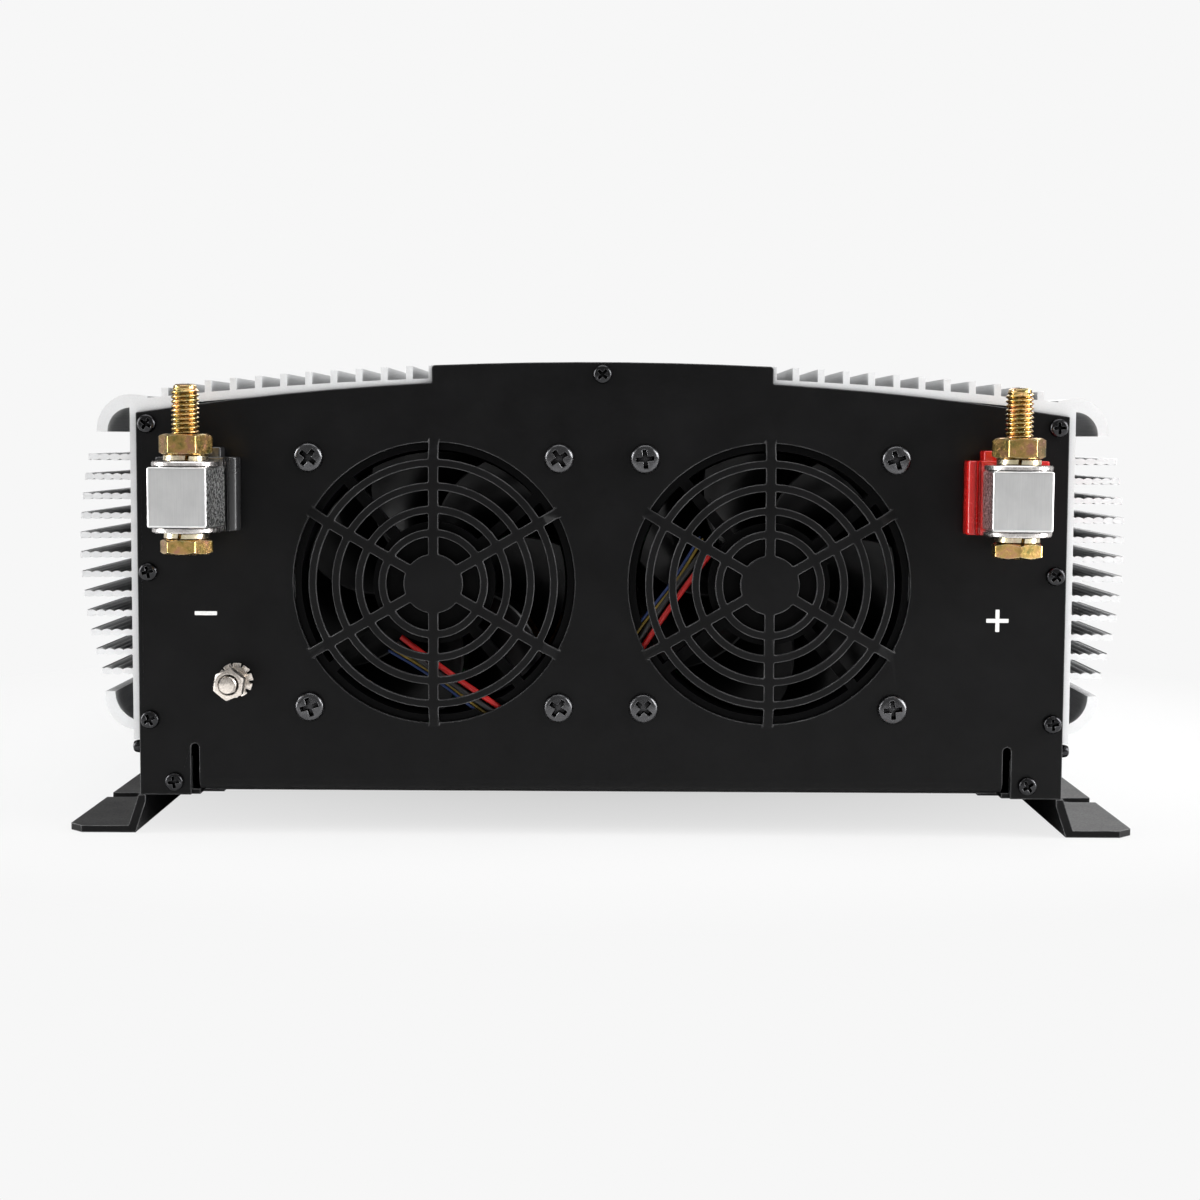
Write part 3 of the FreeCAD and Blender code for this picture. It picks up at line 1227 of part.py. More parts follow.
def blade_section(radius, slant, sweep_back):
    """A blade's section at a radius, in a plane square to that radius."""
    start = -size("case_length") / 2
    front = start + size("strut") + size("rotor_gap") + size("over")
    rear = start + size("fan_deep") - size("rotor_inset") - size("blade_inset")
    thick, camber = size("blade_thick"), size("blade_camber")
    middle = slant / 2 + camber
    corners = [
        Vector(0, front, radius),
        Vector(middle, (front + rear) / 2, radius),
        Vector(slant, rear, radius),
        Vector(slant + thick, rear, radius),
        Vector(middle + thick, (front + rear) / 2, radius),
        Vector(thick, front, radius),
    ]
    turn = Rotation(Vector(0, 1, 0), sweep_back)
    corners = [turn.multVec(corner) for corner in corners]
    return Part.makePolygon(corners + corners[:1])


def fan_stators():
    """Wound stators seated on the bearing tubes inside the rotor cups."""
    stators = []
    span = (f"{FAN_FRONT} + strut", f"{FAN_REAR} - tube_short - over")
    for side in (-1, 1):
        outer = "rotor_hub - cup_wall - stator_gap"
        stators.append(washer("stator", "Y", outer, "bearing_tube", (f"{side} * fan_x", "fan_z"), span))
    node("fan_stators", group("fan_stators", stators))


def fan_leads():
    """Two leads from each motor mount, straight past the blades and out through the frame's notch."""
    for label, row in (("fan_leads_red", -1), ("fan_leads_black", 1)):
        leads = [sweep(label + "_wire", size("lead_radius"), lead_path(side, row)) for side in (-1, 1)]
        node(label, group(label, leads))


def lead_path(side, row):
    """Points of one lead, in the depth of the struts."""
    angle = math.radians(fan_turn(side, "lead_clock"))
    along_run = Vector(math.cos(angle), 0, math.sin(angle))
    away = Vector(math.sin(angle), 0, -math.cos(angle))
    origin = Vector(side * size("fan_x"), (size("strut") - size("case_length")) / 2, size("fan_z"))
    beside = size("lead_beside") + row * size("lead_pitch") / 2
    start, end = size("lead_start"), size("lead_end")
    stations = ((start, 0), ((start + end) / 2, size("lead_bow")), (end, 0))
    return [origin + along_run * reach + away * (beside + bow) for reach, bow in stations]


def fan_screws():
    """Four self tapping screws hold each fan behind the end plate."""
    head, shank = ("fan_screw_head", "fan_screw_tall"), ("fan_screw", "screw_long")
    places = fan_hole_places(-1) + fan_hole_places(1)
    node("fan_screws", group("fan_screws", [
        pan_screw("fan_screw", "Y", place, DC_FACE, -1, head, shank) for place in places
    ]))


# ---------------------------------------------------------------- AC end

def ac_outlet(side, label):
    """Twin outlet: a face that stands out of the plate, a body behind it, and six contact openings."""
    x = f"{side} * outlet_x"
    wide, tall = "outlet_wide / 2", "outlet_tall / 2"
    inset = "outlet_rim - fit_gap"
    proud = (AC_FACE, f"{AC_FACE} + outlet_proud")
    blank = fuse(label + "_blank", [
        box(label + "_face", around(x, wide), proud, around("outlet_z", tall)),
        box(
            label + "_back",
            around(x, f"{wide} - {inset}"),
            (f"{AC_BACK} - outlet_deep", AC_FACE),
            around("outlet_z", f"{tall} - {inset}"),
        ),
    ])
    tools = []
    depth = (f"{AC_FACE} - contact_end", f"{AC_FACE} + outlet_proud + over")
    for z in socket_heights():
        for shift, high in (("-slot_shift", "neutral_tall"), ("slot_shift", "line_tall")):
            slot = around(f"{x} + {shift}", "slot_wide / 2")
            tools.append(box(label + "_slot", slot, depth, around(f"{z} + slot_lift", f"{high} / 2")))
        tools.append(rod(label + "_earth", "Y", "earth_hole", (x, f"{z} - earth_drop"), depth))
    node(label, cut(label, blank, tools))


def socket_heights():
    """The middles of an outlet's two sockets."""
    return [f"outlet_z + {way} * socket_pitch / 2" for way in (-1, 1)]


def receptacle_contacts():
    """Spring contacts at the bottom of the outlets' slots."""
    leaves = []
    depth = (f"{AC_FACE} - contact_end", f"{AC_FACE} - contact_start")
    for side in (-1, 1):
        for z in socket_heights():
            for shift in ("-slot_shift", "slot_shift"):
                wide = around(f"{side} * outlet_x + {shift} - leaf_offset", "leaf_thick / 2")
                leaves.append(box("contact_leaf", wide, depth, around(f"{z} + slot_lift", "leaf_tall / 2")))
            place = (f"{side} * outlet_x", f"{z} - earth_drop")
            leaves.append(washer("earth_sleeve", "Y", "earth_hole", "earth_hole - leaf_thick", place, depth))
    node("receptacle_contacts", group("receptacle_contacts", leaves))


def power_switch():
    """Rocker switch: a snap-in frame, and a rocker that turns about a pin across it."""
    bezel = box(
        "switch_bezel",
        around("switch_x", "bezel_wide / 2"),
        (AC_FACE, f"{AC_FACE} + bezel_proud"),
        around("switch_z", "bezel_tall / 2"),
    )
    back = box(
        "switch_back",
        around("switch_x", "switch_wide / 2 - fit_gap"),
        (f"{AC_BACK} - switch_deep", AC_FACE),
        around("switch_z", "switch_tall / 2 - fit_gap"),
    )
    well = box(
        "switch_well",
        around("switch_x", "rocker_wide / 2 + rocker_gap"),
        (f"{AC_FACE} - well_deep", f"{AC_FACE} + bezel_proud + over"),
        around("switch_z", "well_tall / 2"),
    )
    pivot = (f"{AC_FACE} - rocker_pivot", "switch_z")
    pin_reach = around("switch_x", "pin_long / 2 + fit_gap")
    pin_hole = rod("switch_pin_hole", "X", "rocker_pin + bearing_play", pivot, pin_reach)
    blank = fuse("switch_blank", [bezel, back])
    node("power_switch_frame", cut("power_switch_frame", blank, [well, pin_hole]))

    owner = body("power_rocker")
    profile = sketch(owner, "rocker_profile", "YZ_Plane", "switch_x")
    sweep_radius, tilt = size("rocker_sweep"), math.radians(size("rocker_tilt"))
    face = size("rocker_pivot") + size("rocker_proud")
    end = math.sqrt(sweep_radius**2 - face**2)
    hollow = end * math.tan(tilt)

    def turned(y, z):
        """A point of the upright profile, in the off position and in the case's frame."""
        across = y * math.cos(tilt) + z * math.sin(tilt)
        up = z * math.cos(tilt) - y * math.sin(tilt)
        centre = size("case_length") / 2 + size("sheet") - size("rocker_pivot")
        return (centre + across, size("switch_z") + up)

    outline(
        profile,
        turned(face, -end),
        turned(face - hollow, 0),
        turned(face, end),
        (turned(-sweep_radius, 0), turned(face, -end)),
    )
    pad(owner, profile, "rocker_wide", symmetric=True)
    pins = sketch(owner, "rocker_pins", "YZ_Plane", "switch_x")
    circle(pins, *turned(0, 0), "rocker_pin")
    pad(owner, pins, "pin_long", symmetric=True)
    node("power_rocker", owner)


def breakers():
    """Push-to-reset breakers: body, threaded collar and nut, and a button that pops out."""
    bodies = []
    for z, label in (("breaker_high", "breaker_button_upper"), ("breaker_low", "breaker_button_lower")):
        place = ("breaker_x", z)
        wide, tall = around("breaker_x", "breaker_wide / 2"), around(z, "breaker_tall / 2")
        blank = fuse("breaker_blank", [
            box("breaker_case", wide, (f"{AC_BACK} - breaker_tall", AC_BACK), tall),
            rod("breaker_collar", "Y", "breaker_collar", place, (AC_BACK, f"{AC_FACE} + collar_proud")),
            hexagon("breaker_nut", "Y", "collar_flats", place, (AC_FACE, f"{AC_FACE} + collar_nut")),
        ])
        depth = (f"{AC_BACK} - button_well", f"{AC_FACE} + collar_proud + over")
        well = rod("breaker_well", "Y", "button + button_play", place, depth)
        bodies.append(cut("breaker_body", blank, [well]))
        end = f"{AC_FACE} + button_proud"
        bevel = (end, f"{end} + button_bevel")
        node(label, fuse(label, [
            rod(label + "_stem", "Y", "button", place, (f"{AC_BACK} - button_back", end)),
            cone(label + "_crown", "Y", ("button", "button - button_bevel"), place, bevel),
        ]))
    node("breaker_bodies", group("breaker_bodies", bodies))


def small_ports():
    """USB socket, remote control jack and two indicator lamps."""
    wide, tall = "usb_wide / 2", "usb_tall / 2"
    depth = (f"{AC_BACK} - usb_deep", f"{AC_FACE} + usb_proud")
    inside = (f"{AC_BACK} - usb_deep + 2 * over", f"{AC_FACE} + over")
    shell = box("usb_shell", around("switch_x", wide), depth, around("usb_z", tall))
    hollow = box(
        "usb_hollow",
        around("switch_x", f"{wide} - usb_wall"),
        inside,
        around("usb_z", f"{tall} - usb_wall"),
    )
    tongue = box(
        "usb_tongue",
        around("switch_x", "tongue_wide / 2"),
        (f"{AC_BACK} - usb_deep + over", f"{AC_FACE} - over"),
        ("usb_z + fit_gap", "usb_z + fit_gap + tongue_thick"),
    )
    node("usb_port", fuse("usb_port", [cut("usb_case", shell, [hollow]), tongue]))

    depth = (f"{AC_BACK} - remote_deep", f"{AC_FACE} + remote_proud")
    inside = (f"{AC_BACK} - jack_deep", f"{AC_FACE} + remote_proud + over")
    tall = around("remote_z", "remote_tall / 2")
    block = box("remote_block", around("switch_x", "remote_wide / 2"), depth, tall)
    opening = around("remote_z", "jack_tall / 2")
    jack = box("remote_jack", around("switch_x", "jack_wide / 2"), inside, opening)
    below = ("remote_z - jack_tall / 2 - latch_tall", "remote_z - jack_tall / 2")
    latch = box("remote_latch", around("switch_x", "latch_wide / 2"), inside, below)
    node("remote_port", cut("remote_port", block, [jack, latch]))

    lamps = []
    front = f"{AC_FACE} + lamp_proud"
    for side in (-1, 1):
        place = lamp_place(side)
        lamps.append(fuse("lamp_body", [
            rod("lamp_barrel", "Y", "lamp", place, (f"{AC_BACK} - over", front)),
            rod("lamp_rim", "Y", "lamp_rim", place, (f"{AC_BACK} - lamp_back", AC_BACK)),
            cone("lamp_dome", "Y", ("lamp", "lamp / 2"), place, (front, f"{front} + lamp_dome")),
        ]))
    node("indicator_lamps", group("indicator_lamps", lamps))


def lamp_place(side):
    """The centre of one indicator lamp, as (x, z)."""
    return (f"lamp_x + {side} * lamp_shift", "remote_z")


def cover_screw_place(side):
    """The centre of one of the terminal cover's screws, as (x, z)."""
    return (f"cover_x + {side} * ear_screw", "cover_z")


def ac_terminals():
    """Three-way terminal block behind a folded cover with a cable hole in its underside."""
    depth = (f"{AC_BACK} - way_back", f"{AC_BACK} + way_front")
    block = box("ac_block", around("cover_x", "way_block / 2"), depth, around("cover_z", "way_tall / 2"))
    floor = f"{AC_BACK} + way_step"
    tools, screws = [], []
    for i in (-1, 0, 1):
        x = f"cover_x + {i} * way_pitch"
        place = (x, "cover_z - way_drop")
        bay = (floor, f"{AC_BACK} + way_front + over")
        height = ("cover_z - way_low", "cover_z + way_high")
        tools.append(box("way_bay", around(x, "way_wide / 2"), bay, height))
        hole = (f"{floor} - way_shank - over", bay[1])
        tools.append(rod("way_hole", "Y", "way_hole", place, hole))
        head, shank = ("way_head", "way_head_tall"), ("way_screw", "way_shank")
        screws.append(pan_screw("way_screw", "Y", place, floor, 1, head, shank))
    node("ac_terminal_block", cut("ac_terminal_block", block, tools))
    node("ac_terminal_screws", group("ac_terminal_screws", screws))

    wide, tall = "cover_wide / 2", "cover_tall / 2"
    front = f"{AC_FACE} + cover_proud"
    outer = box("cover_outer", around("cover_x", wide), (AC_FACE, front), around("cover_z", tall))
    ear_span, ear_height = around("cover_x", "ear_wide / 2"), around("cover_z", "ear_tall / 2")
    ears = box("cover_ears", ear_span, (AC_FACE, f"{AC_FACE} + sheet"), ear_height)
    hollow_wide, hollow_tall = around("cover_x", f"{wide} - sheet"), around("cover_z", f"{tall} - sheet")
    hollow = box("cover_hollow", hollow_wide, (f"{AC_FACE} - over", f"{front} - sheet"), hollow_tall)
    under = ("cover_z - cover_tall / 2 - over", "cover_z - cover_tall / 2 + sheet + over")
    entry = ("cover_x", f"{AC_FACE} + cover_proud / 2")
    tools = [hollow, rod("cover_entry", "Z", "cable_hole", entry, under)]
    fixings = []
    for side in (-1, 1):
        place = cover_screw_place(side)
        through = (f"{AC_FACE} - over", f"{AC_FACE} + sheet + over")
        tools.append(rod("cover_screw_hole", "Y", "screw_hole", place, through))
        fixings.append(pan_screw("cover_screw", "Y", place, f"{AC_FACE} + sheet", 1, CASE_HEAD, CASE_SHANK))
    node("ac_terminal_cover", cut("ac_terminal_cover", fuse("cover_blank", [outer, ears]), tools))
    node("ac_cover_screws", group("ac_cover_screws", fixings))


# ---------------------------------------------------------------- electronics

BOARD_TOP = "board_z + board_thick"


def standoff_places():
    """Where the main board is held, as (x, y) formulas."""
    steps = (-1, 0, 1)
    return [(f"{across} * post_x", f"{along_case} * post_y") for across in steps for along_case in steps]


def main_board():
    """Main board on hollow standoffs, each with a screw from above."""
    level = ("board_z", BOARD_TOP)
    board = box("board_blank", around("0", "board_half_x"), around("0", "board_half_y"), level)
    through = ("board_z - over", f"{BOARD_TOP} + over")
    holes = [rod("board_hole", "Z", "screw_hole", place, through) for place in standoff_places()]
    node("main_board", cut("main_board", board, holes))
    posts, screws = [], []
    for place in standoff_places():
        blank = fuse("post_blank", [
            hexagon("post", "Z", "post_flats", place, ("plate_foot + sheet", "board_z")),
            rod("post_tail", "Z", "rivet_stem", place, ("plate_foot", "plate_foot + sheet")),
        ])
        thread = rod("post_thread", "Z", "screw_channel", place, ("board_z - post_thread", "board_z + over"))
        posts.append(cut("standoff", blank, [thread]))
        shank = ("screw_shank", "post_thread")
        screws.append(pan_screw("board_screw", "Z", place, BOARD_TOP, 1, CASE_HEAD, shank))
    node("board_standoffs", group("board_standoffs", posts))
    node("board_screws", group("board_screws", screws))


def transformers():
    """Four push-pull transformers in a row across the board: ferrite cores and copper windings."""
    cores, windings = [], []
    deep = around("core_y", "core_wide / 2")
    low, high = f"{BOARD_TOP} + window_low", f"{BOARD_TOP} + window_low + window_tall"
    for i in range(4):
        x = f"({i} - 1.5) * core_pitch"
        yoke = box("core_yoke", around(x, "core_wide / 2"), deep, (BOARD_TOP, f"{BOARD_TOP} + core_wide"))
        through = around("core_y", "core_wide / 2 + over")
        windows = [
            box("core_window", around(f"{x} + {side} * window_x", "window_wide / 2"), through, (low, high))
            for side in (-1, 1)
        ]
        cores.append(cut("core", yoke, windows))
        ends, height = around("core_y", "coil_deep / 2"), (f"{low} + coil_gap", f"{high} - coil_gap")
        coil = box("coil_block", around(x, "coil_wide / 2"), ends, height)
        limb = around(x, "window_x - window_wide / 2 + coil_gap")
        space = box("coil_space", limb, around("core_y", "core_wide / 2 + coil_gap"), (low, high))
        windings.append(cut("coil", coil, [space]))
    node("transformer_cores", group("transformer_cores", cores))
    node("transformer_windings", group("transformer_windings", windings))


def capacitors():
    """Low voltage input capacitors near the DC end, high voltage bus capacitors near the AC end."""
    low, high = [], []
    low_span, high_span = ((BOARD_TOP, f"{BOARD_TOP} + {tall}") for tall in ("can_low_tall", "can_high_tall"))
    for side in (-1, 1):
        for column in (0, 1):
            x = f"{side} * (can_low_x + {column} * can_low_pitch)"
            for row in (0, 1):
                place = (x, f"can_low_y + {row} * can_low_pitch")
                low.append(rod("input_can", "Z", "can_low", place, low_span))
            place = (f"{side} * ({column} + 1) * can_high_pitch", "bus_y")
            high.append(rod("bus_can", "Z", "can_high", place, high_span))
    node("input_capacitors", group("input_capacitors", low))
    node("bus_capacitors", group("bus_capacitors", high))


def power_switches():
    """Power transistors along both walls: pad against the wall, transistor, and a bar that presses it."""
    devices, pads, bars, screws = [], [], [], []
    wall = "wall_half - wall"
    pad_face = f"{wall} - pad_thick"
    device_face = f"{pad_face} - transistor_thick"
    bar_face = f"{device_face} - clamp_thick"
    places = [(f"transistor_first + {i} * transistor_pitch", "clamp_z") for i in (0.5, 4.5, 8.5)]
    for side in (-1, 1):
        across = mirrored(side, pad_face, wall)
        pads.append(box("wall_pad", across, ("pad_start", "pad_end"), ("pad_low", "pad_high")))
        for i in range(int(size("transistors"))):
            along_wall = around(f"transistor_first + {i} * transistor_pitch", "transistor_wide / 2")
            across = mirrored(side, device_face, pad_face)
            devices.append(box("transistor", across, along_wall, around("clamp_z", "transistor_tall / 2")))
        across = mirrored(side, bar_face, device_face)
        reach = ("pad_start + over", "pad_end - over")
        blank = box("clamp_blank", across, reach, around("clamp_z", "clamp_tall / 2"))
        bar_holes = [rod("bar_hole", "X", "screw_hole", place, across) for place in places]
        bars.append(cut("clamp_bar", blank, bar_holes))
        for place in places:
            head, shank = CASE_HEAD, ("clamp_shank", "clamp_long")
            screws.append(pan_screw("clamp_screw", "X", place, f"{side} * ({bar_face})", -side, head, shank))
    holes = [rod("pad_hole", "X", "screw_channel", place, around("0", "wall_half")) for place in places]
    node("power_transistors", group("power_transistors", devices))
    node("insulation_pads", cut("insulation_pads", group("wall_pads", pads), holes))
    node("transistor_clamps", group("transistor_clamps", bars))
    node("clamp_screws", group("clamp_screws", screws))


def output_stage():
    """Output filter inductor, fuses beside the input capacitors, and the control board."""
    ring = doc.addObject("Part::Torus", "inductor_ring")
    bind(ring, Radius1="ring_middle", Radius2="ring_round")
    put(ring, 0, "ring_y", f"{BOARD_TOP} + ring_round + ring_lift")
    node("output_inductor", ring)
    fuses = []
    span, height = ("fuse_start", "fuse_end"), (BOARD_TOP, f"{BOARD_TOP} + fuse_tall")
    for side in (-1, 1):
        for i in range(3):
            wide = around(f"{side} * (fuse_x + {i} * fuse_pitch)", "fuse_wide / 2")
            fuses.append(box("fuse", wide, span, height))
    node("fuses", group("fuses", fuses))
    depth = ("control_y", "control_y + board_thick")
    upright = (BOARD_TOP, f"{BOARD_TOP} + control_tall")
    node("control_board", box("control_board", around("0", "control_half"), depth, upright))


def busbars():
    """Copper bars from the terminal blocks into the case, folded down to the main board."""
    bars = []
    fold = f"{DC_BACK} + bar_drop"
    for side in (-1, 1):
        wide = around(f"{side} * terminal_x", "bar_wide / 2")
        foot = (fold, f"{fold} + bar_foot_long")
        across = mirrored(side, "bar_foot", "terminal_x + bar_wide / 2")
        level, back = around("terminal_z", "bar_thick / 2"), f"{fold} + bar_thick"
        bars.append(fuse("busbar", [
            box("bar_level", wide, (BLOCK_BACK, back), level),
            box("bar_upright", wide, (fold, back), (BOARD_TOP, level[1])),
            box("bar_foot", across, foot, (BOARD_TOP, f"{BOARD_TOP} + bar_thick")),
        ]))
    node("busbars", group("busbars", bars))


# ---------------------------------------------------------------- assembly

def build():
    upper_housing()
    base_cover()
    mounting_rail(-1, "mounting_rail_left")
    mounting_rail(1, "mounting_rail_right")
    dc_end_plate()
    ac_end_plate()
    case_screws()
    terminal_insulator(-1, "terminal_insulator_negative")
    terminal_insulator(1, "terminal_insulator_positive")
    terminal_block(-1, "terminal_block_negative")
    terminal_block(1, "terminal_block_positive")
    terminal_hardware()
    ground_hardware()
    for side, name in ((-1, "left"), (1, "right")):
        fan_frame(side, f"fan_frame_{name}")
        fan_rotor(side, f"fan_rotor_{name}")
    fan_stators()
    fan_leads()
    fan_screws()
    ac_outlet(-1, "ac_outlet_left")
    ac_outlet(1, "ac_outlet_right")
    receptacle_contacts()
    power_switch()
    breakers()
    small_ports()
    ac_terminals()
    main_board()
    transformers()
    capacitors()
    power_switches()
    output_stage()
    busbars()


def check():
    """Stop if any object failed to compute or any sub-part isn't a valid shape."""
    for item in doc.Objects:
        if "Invalid" in item.State or "Error" in item.State:
            raise RuntimeError(f"{item.Label} failed: {item.State}")
    for item in nodes:
        if item.Shape.isNull() or not item.Shape.isValid():
            raise RuntimeError(f"{item.Label} has no valid shape")


build()
doc.recompute()
check()
os.makedirs("parts", exist_ok=True)
for item in nodes:
    item.Shape.exportStep(f"parts/{item.Label}.step")
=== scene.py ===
import json
import math
import random

import bmesh
import bpy
from mathutils import Matrix, Vector
from mathutils.geometry import tessellate_polygon


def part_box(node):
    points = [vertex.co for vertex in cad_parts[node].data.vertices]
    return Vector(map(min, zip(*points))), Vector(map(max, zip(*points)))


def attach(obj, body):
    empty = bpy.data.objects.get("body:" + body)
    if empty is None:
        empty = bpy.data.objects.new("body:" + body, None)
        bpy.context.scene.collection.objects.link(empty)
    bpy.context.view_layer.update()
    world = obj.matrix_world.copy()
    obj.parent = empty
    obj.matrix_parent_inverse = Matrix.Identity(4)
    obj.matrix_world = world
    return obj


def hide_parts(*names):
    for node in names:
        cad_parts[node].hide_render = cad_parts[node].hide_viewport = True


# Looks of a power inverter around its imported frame. Millimetres are used inside the builders and
# turned into metres when a mesh is made. The DC end faces -Y.

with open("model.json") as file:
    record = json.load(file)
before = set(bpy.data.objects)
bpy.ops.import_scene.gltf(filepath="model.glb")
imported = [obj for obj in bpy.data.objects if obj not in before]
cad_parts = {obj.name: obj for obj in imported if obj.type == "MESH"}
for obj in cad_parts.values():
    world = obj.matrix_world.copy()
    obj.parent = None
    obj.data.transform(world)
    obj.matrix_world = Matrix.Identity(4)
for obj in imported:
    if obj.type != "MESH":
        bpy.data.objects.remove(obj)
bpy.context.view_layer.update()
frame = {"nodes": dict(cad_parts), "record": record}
MM = 0.001
rng = random.Random(7)


# ---------------------------------------------------------------- materials

class Shader:
    """A material's node tree with short helpers. Textures use object coordinates in millimetres."""

    def __init__(self, name, **settings):
        self.material = bpy.data.materials.new(name)
        self.material.use_nodes = True
        self.nodes = self.material.node_tree.nodes
        self.links = self.material.node_tree.links
        self.surface = self.nodes["Principled BSDF"]
        coordinates = self.nodes.new("ShaderNodeTexCoord").outputs["Object"]
        self.millimetres = self.vector_math("SCALE", coordinates, scale=1 / MM)
        for socket, value in settings.items():
            self.surface.inputs[socket.replace("_", " ")].default_value = value

    def link(self, source, target):
        self.links.new(source, target)

    def vector_math(self, operation, vector, other=(0, 0, 0), scale=1.0):
        node = self.nodes.new("ShaderNodeVectorMath")
        node.operation = operation
        self.link(vector, node.inputs[0])
        if operation == "SCALE":
            node.inputs["Scale"].default_value = scale
        else:
            node.inputs[1].default_value = other
        return node.outputs["Vector"]

    def math(self, operation, first, second=0.0):
        node = self.nodes.new("ShaderNodeMath")
        node.operation = operation
        for socket, value in zip(node.inputs, (first, second)):
            if hasattr(value, "links"):
                self.link(value, socket)
            else:
                socket.default_value = value
        return node.outputs["Value"]

    def noise(self, size, detail=3.0, roughness=0.55, stretch=(1, 1, 1)):
        """Noise whose lumps are about this many millimetres, longer along the stretched axes."""
        vector = self.vector_math("DIVIDE", self.millimetres, [size * s for s in stretch])
        node = self.nodes.new("ShaderNodeTexNoise")
        node.inputs["Scale"].default_value = 1.0
        node.inputs["Detail"].default_value = detail
        node.inputs["Roughness"].default_value = roughness
        self.link(vector, node.inputs["Vector"])
        return node.outputs["Fac"]

    def cell_edges(self, size):
        """Distance to the nearest border of cells of about this many millimetres."""
        vector = self.vector_math("DIVIDE", self.millimetres, (size, size, size))
        node = self.nodes.new("ShaderNodeTexVoronoi")
        node.feature = "DISTANCE_TO_EDGE"
        node.inputs["Scale"].default_value = 1.0
        self.link(vector, node.inputs["Vector"])
        return node.outputs["Distance"]

    def spread(self, value, low, high, start=0.3, end=0.7):
        """Map a value's middle range onto low to high."""
        node = self.nodes.new("ShaderNodeMapRange")
        node.inputs["From Min"].default_value = start
        node.inputs["From Max"].default_value = end
        node.inputs["To Min"].default_value = low
        node.inputs["To Max"].default_value = high
        self.link(value, node.inputs["Value"])
        return node.outputs["Result"]

    def ramp(self, value, *stops):
        """Colours along a value, as (position, colour) stops."""
        node = self.nodes.new("ShaderNodeValToRGB")
        elements = node.color_ramp.elements
        while len(elements) < len(stops):
            elements.new(0.5)
        for element, (position, colour) in zip(elements, stops):
            element.position = position
            element.color = (*colour, 1)
        self.link(value, node.inputs["Fac"])
        return node.outputs["Color"]

    def blend(self, factor, first, second):
        """Mix two colours."""
        node = self.nodes.new("ShaderNodeMix")
        node.data_type = "RGBA"
        factor_socket = node.inputs["Factor"]
        colours = [s for s in node.inputs if s.type == "RGBA"]
        if hasattr(factor, "links"):
            self.link(factor, factor_socket)
        else:
            factor_socket.default_value = factor
        for socket, value in zip(colours, (first, second)):
            if hasattr(value, "links"):
                self.link(value, socket)
            else:
                socket.default_value = (*value, 1)
        return next(s for s in node.outputs if s.type == "RGBA")

    def edge_highlight(self, radius=0.25):
        """How sharp an edge is here, for a painted highlight along it: 0 on flats, up to 1 on sharp edges.
        """
        bevel = self.nodes.new("ShaderNodeBevel")
        bevel.samples = 4
        bevel.inputs["Radius"].default_value = radius * MM
        geometry = self.nodes.new("ShaderNodeNewGeometry")
        dot = self.nodes.new("ShaderNodeVectorMath")
        dot.operation = "DOT_PRODUCT"
        self.link(bevel.outputs["Normal"], dot.inputs[0])
        self.link(geometry.outputs["Normal"], dot.inputs[1])
        node = self.nodes.new("ShaderNodeMapRange")
        node.inputs["From Min"].default_value = 1.0
        node.inputs["From Max"].default_value = 0.8
        self.link(dot.outputs["Value"], node.inputs["Value"])
        return node.outputs["Result"]

    def shade_mask(self, distance, shut=0.4, clear=0.9):
        """How enclosed a place is, for painted shade: 0 in a deep recess, 1 in the open."""
        node = self.nodes.new("ShaderNodeAmbientOcclusion")
        node.samples = 6
        node.inputs["Distance"].default_value = distance * MM
        return self.spread(node.outputs["AO"], 0.0, 1.0, shut, clear)

    def colour(self, value):
        self.link(value, self.surface.inputs["Base Color"])
        return self

    def rough(self, value):
        self.link(value, self.surface.inputs["Roughness"])
        return self

    def bump(self, height, distance, strength=1.0):
        """Bump of about this height in millimetres. Later bumps are laid over earlier ones."""
        node = self.nodes.new("ShaderNodeBump")
        node.inputs["Distance"].default_value = distance * MM
        node.inputs["Strength"].default_value = strength
        self.link(height, node.inputs["Height"])
        normal = self.surface.inputs["Normal"]
        if normal.links:
            self.link(normal.links[0].from_socket, node.inputs["Normal"])
        self.link(node.outputs["Normal"], normal)
        return self


def black_paint():
    """Black powder coat with a fine dimpled texture and a painted highlight along its bent edges."""
    s = Shader("black_powder_coat", IOR=1.45, Specular_IOR_Level=0.16)
    mottle = s.noise(14, 4)
    grain = s.noise(0.55, 2)
    dark = s.ramp(mottle, (0.3, (0.0026, 0.0026, 0.0028)), (0.7, (0.0045, 0.0045, 0.0048)))
    # Painted highlight: the edges are lightened towards grey, broken up by noise.
    edge = s.math("MULTIPLY", s.edge_highlight(0.45), s.spread(s.noise(5, 3), 0.3, 0.95))
    s.colour(s.blend(edge, dark, (0.28, 0.28, 0.285)))
    s.rough(s.math("ADD", s.spread(mottle, 0.34, 0.41), s.spread(grain, -0.05, 0.06)))
    s.bump(grain, 0.03, 0.5).bump(s.noise(2.2, 2), 0.03, 0.5)
    return s.material


def silver_anodised():
    """Bead blasted, clear anodised aluminium with faint drawing lines along the extrusion, a painted
    highlight on its edges and painted shade in its gaps.
    """
    s = Shader("silver_anodised", Metallic=0.35, IOR=1.5)
    lines = s.noise(0.35, 3, 0.6, stretch=(1, 160, 1))
    cloud = s.noise(40, 3)
    tone = s.ramp(s.math("ADD", s.math("MULTIPLY", lines, 0.6), s.math("MULTIPLY", cloud, 0.4)),
                  (0.3, (0.74, 0.745, 0.75)), (0.7, (0.84, 0.845, 0.85)))
    # Painted highlight: the edges are lightened to near white.
    highlit_tone = s.blend(s.math("MULTIPLY", s.edge_highlight(0.25), 0.5), tone, (0.97, 0.97, 0.97))
    # Painted shade: enclosed places, such as the gaps between fins, turn dark grey.
    s.colour(s.blend(s.shade_mask(14, 0.12, 0.8), (0.13, 0.132, 0.135), highlit_tone))
    s.rough(s.spread(lines, 0.36, 0.5))
    s.bump(lines, 0.02, 0.35).bump(s.noise(0.25, 2), 0.012, 0.4)
    return s.material


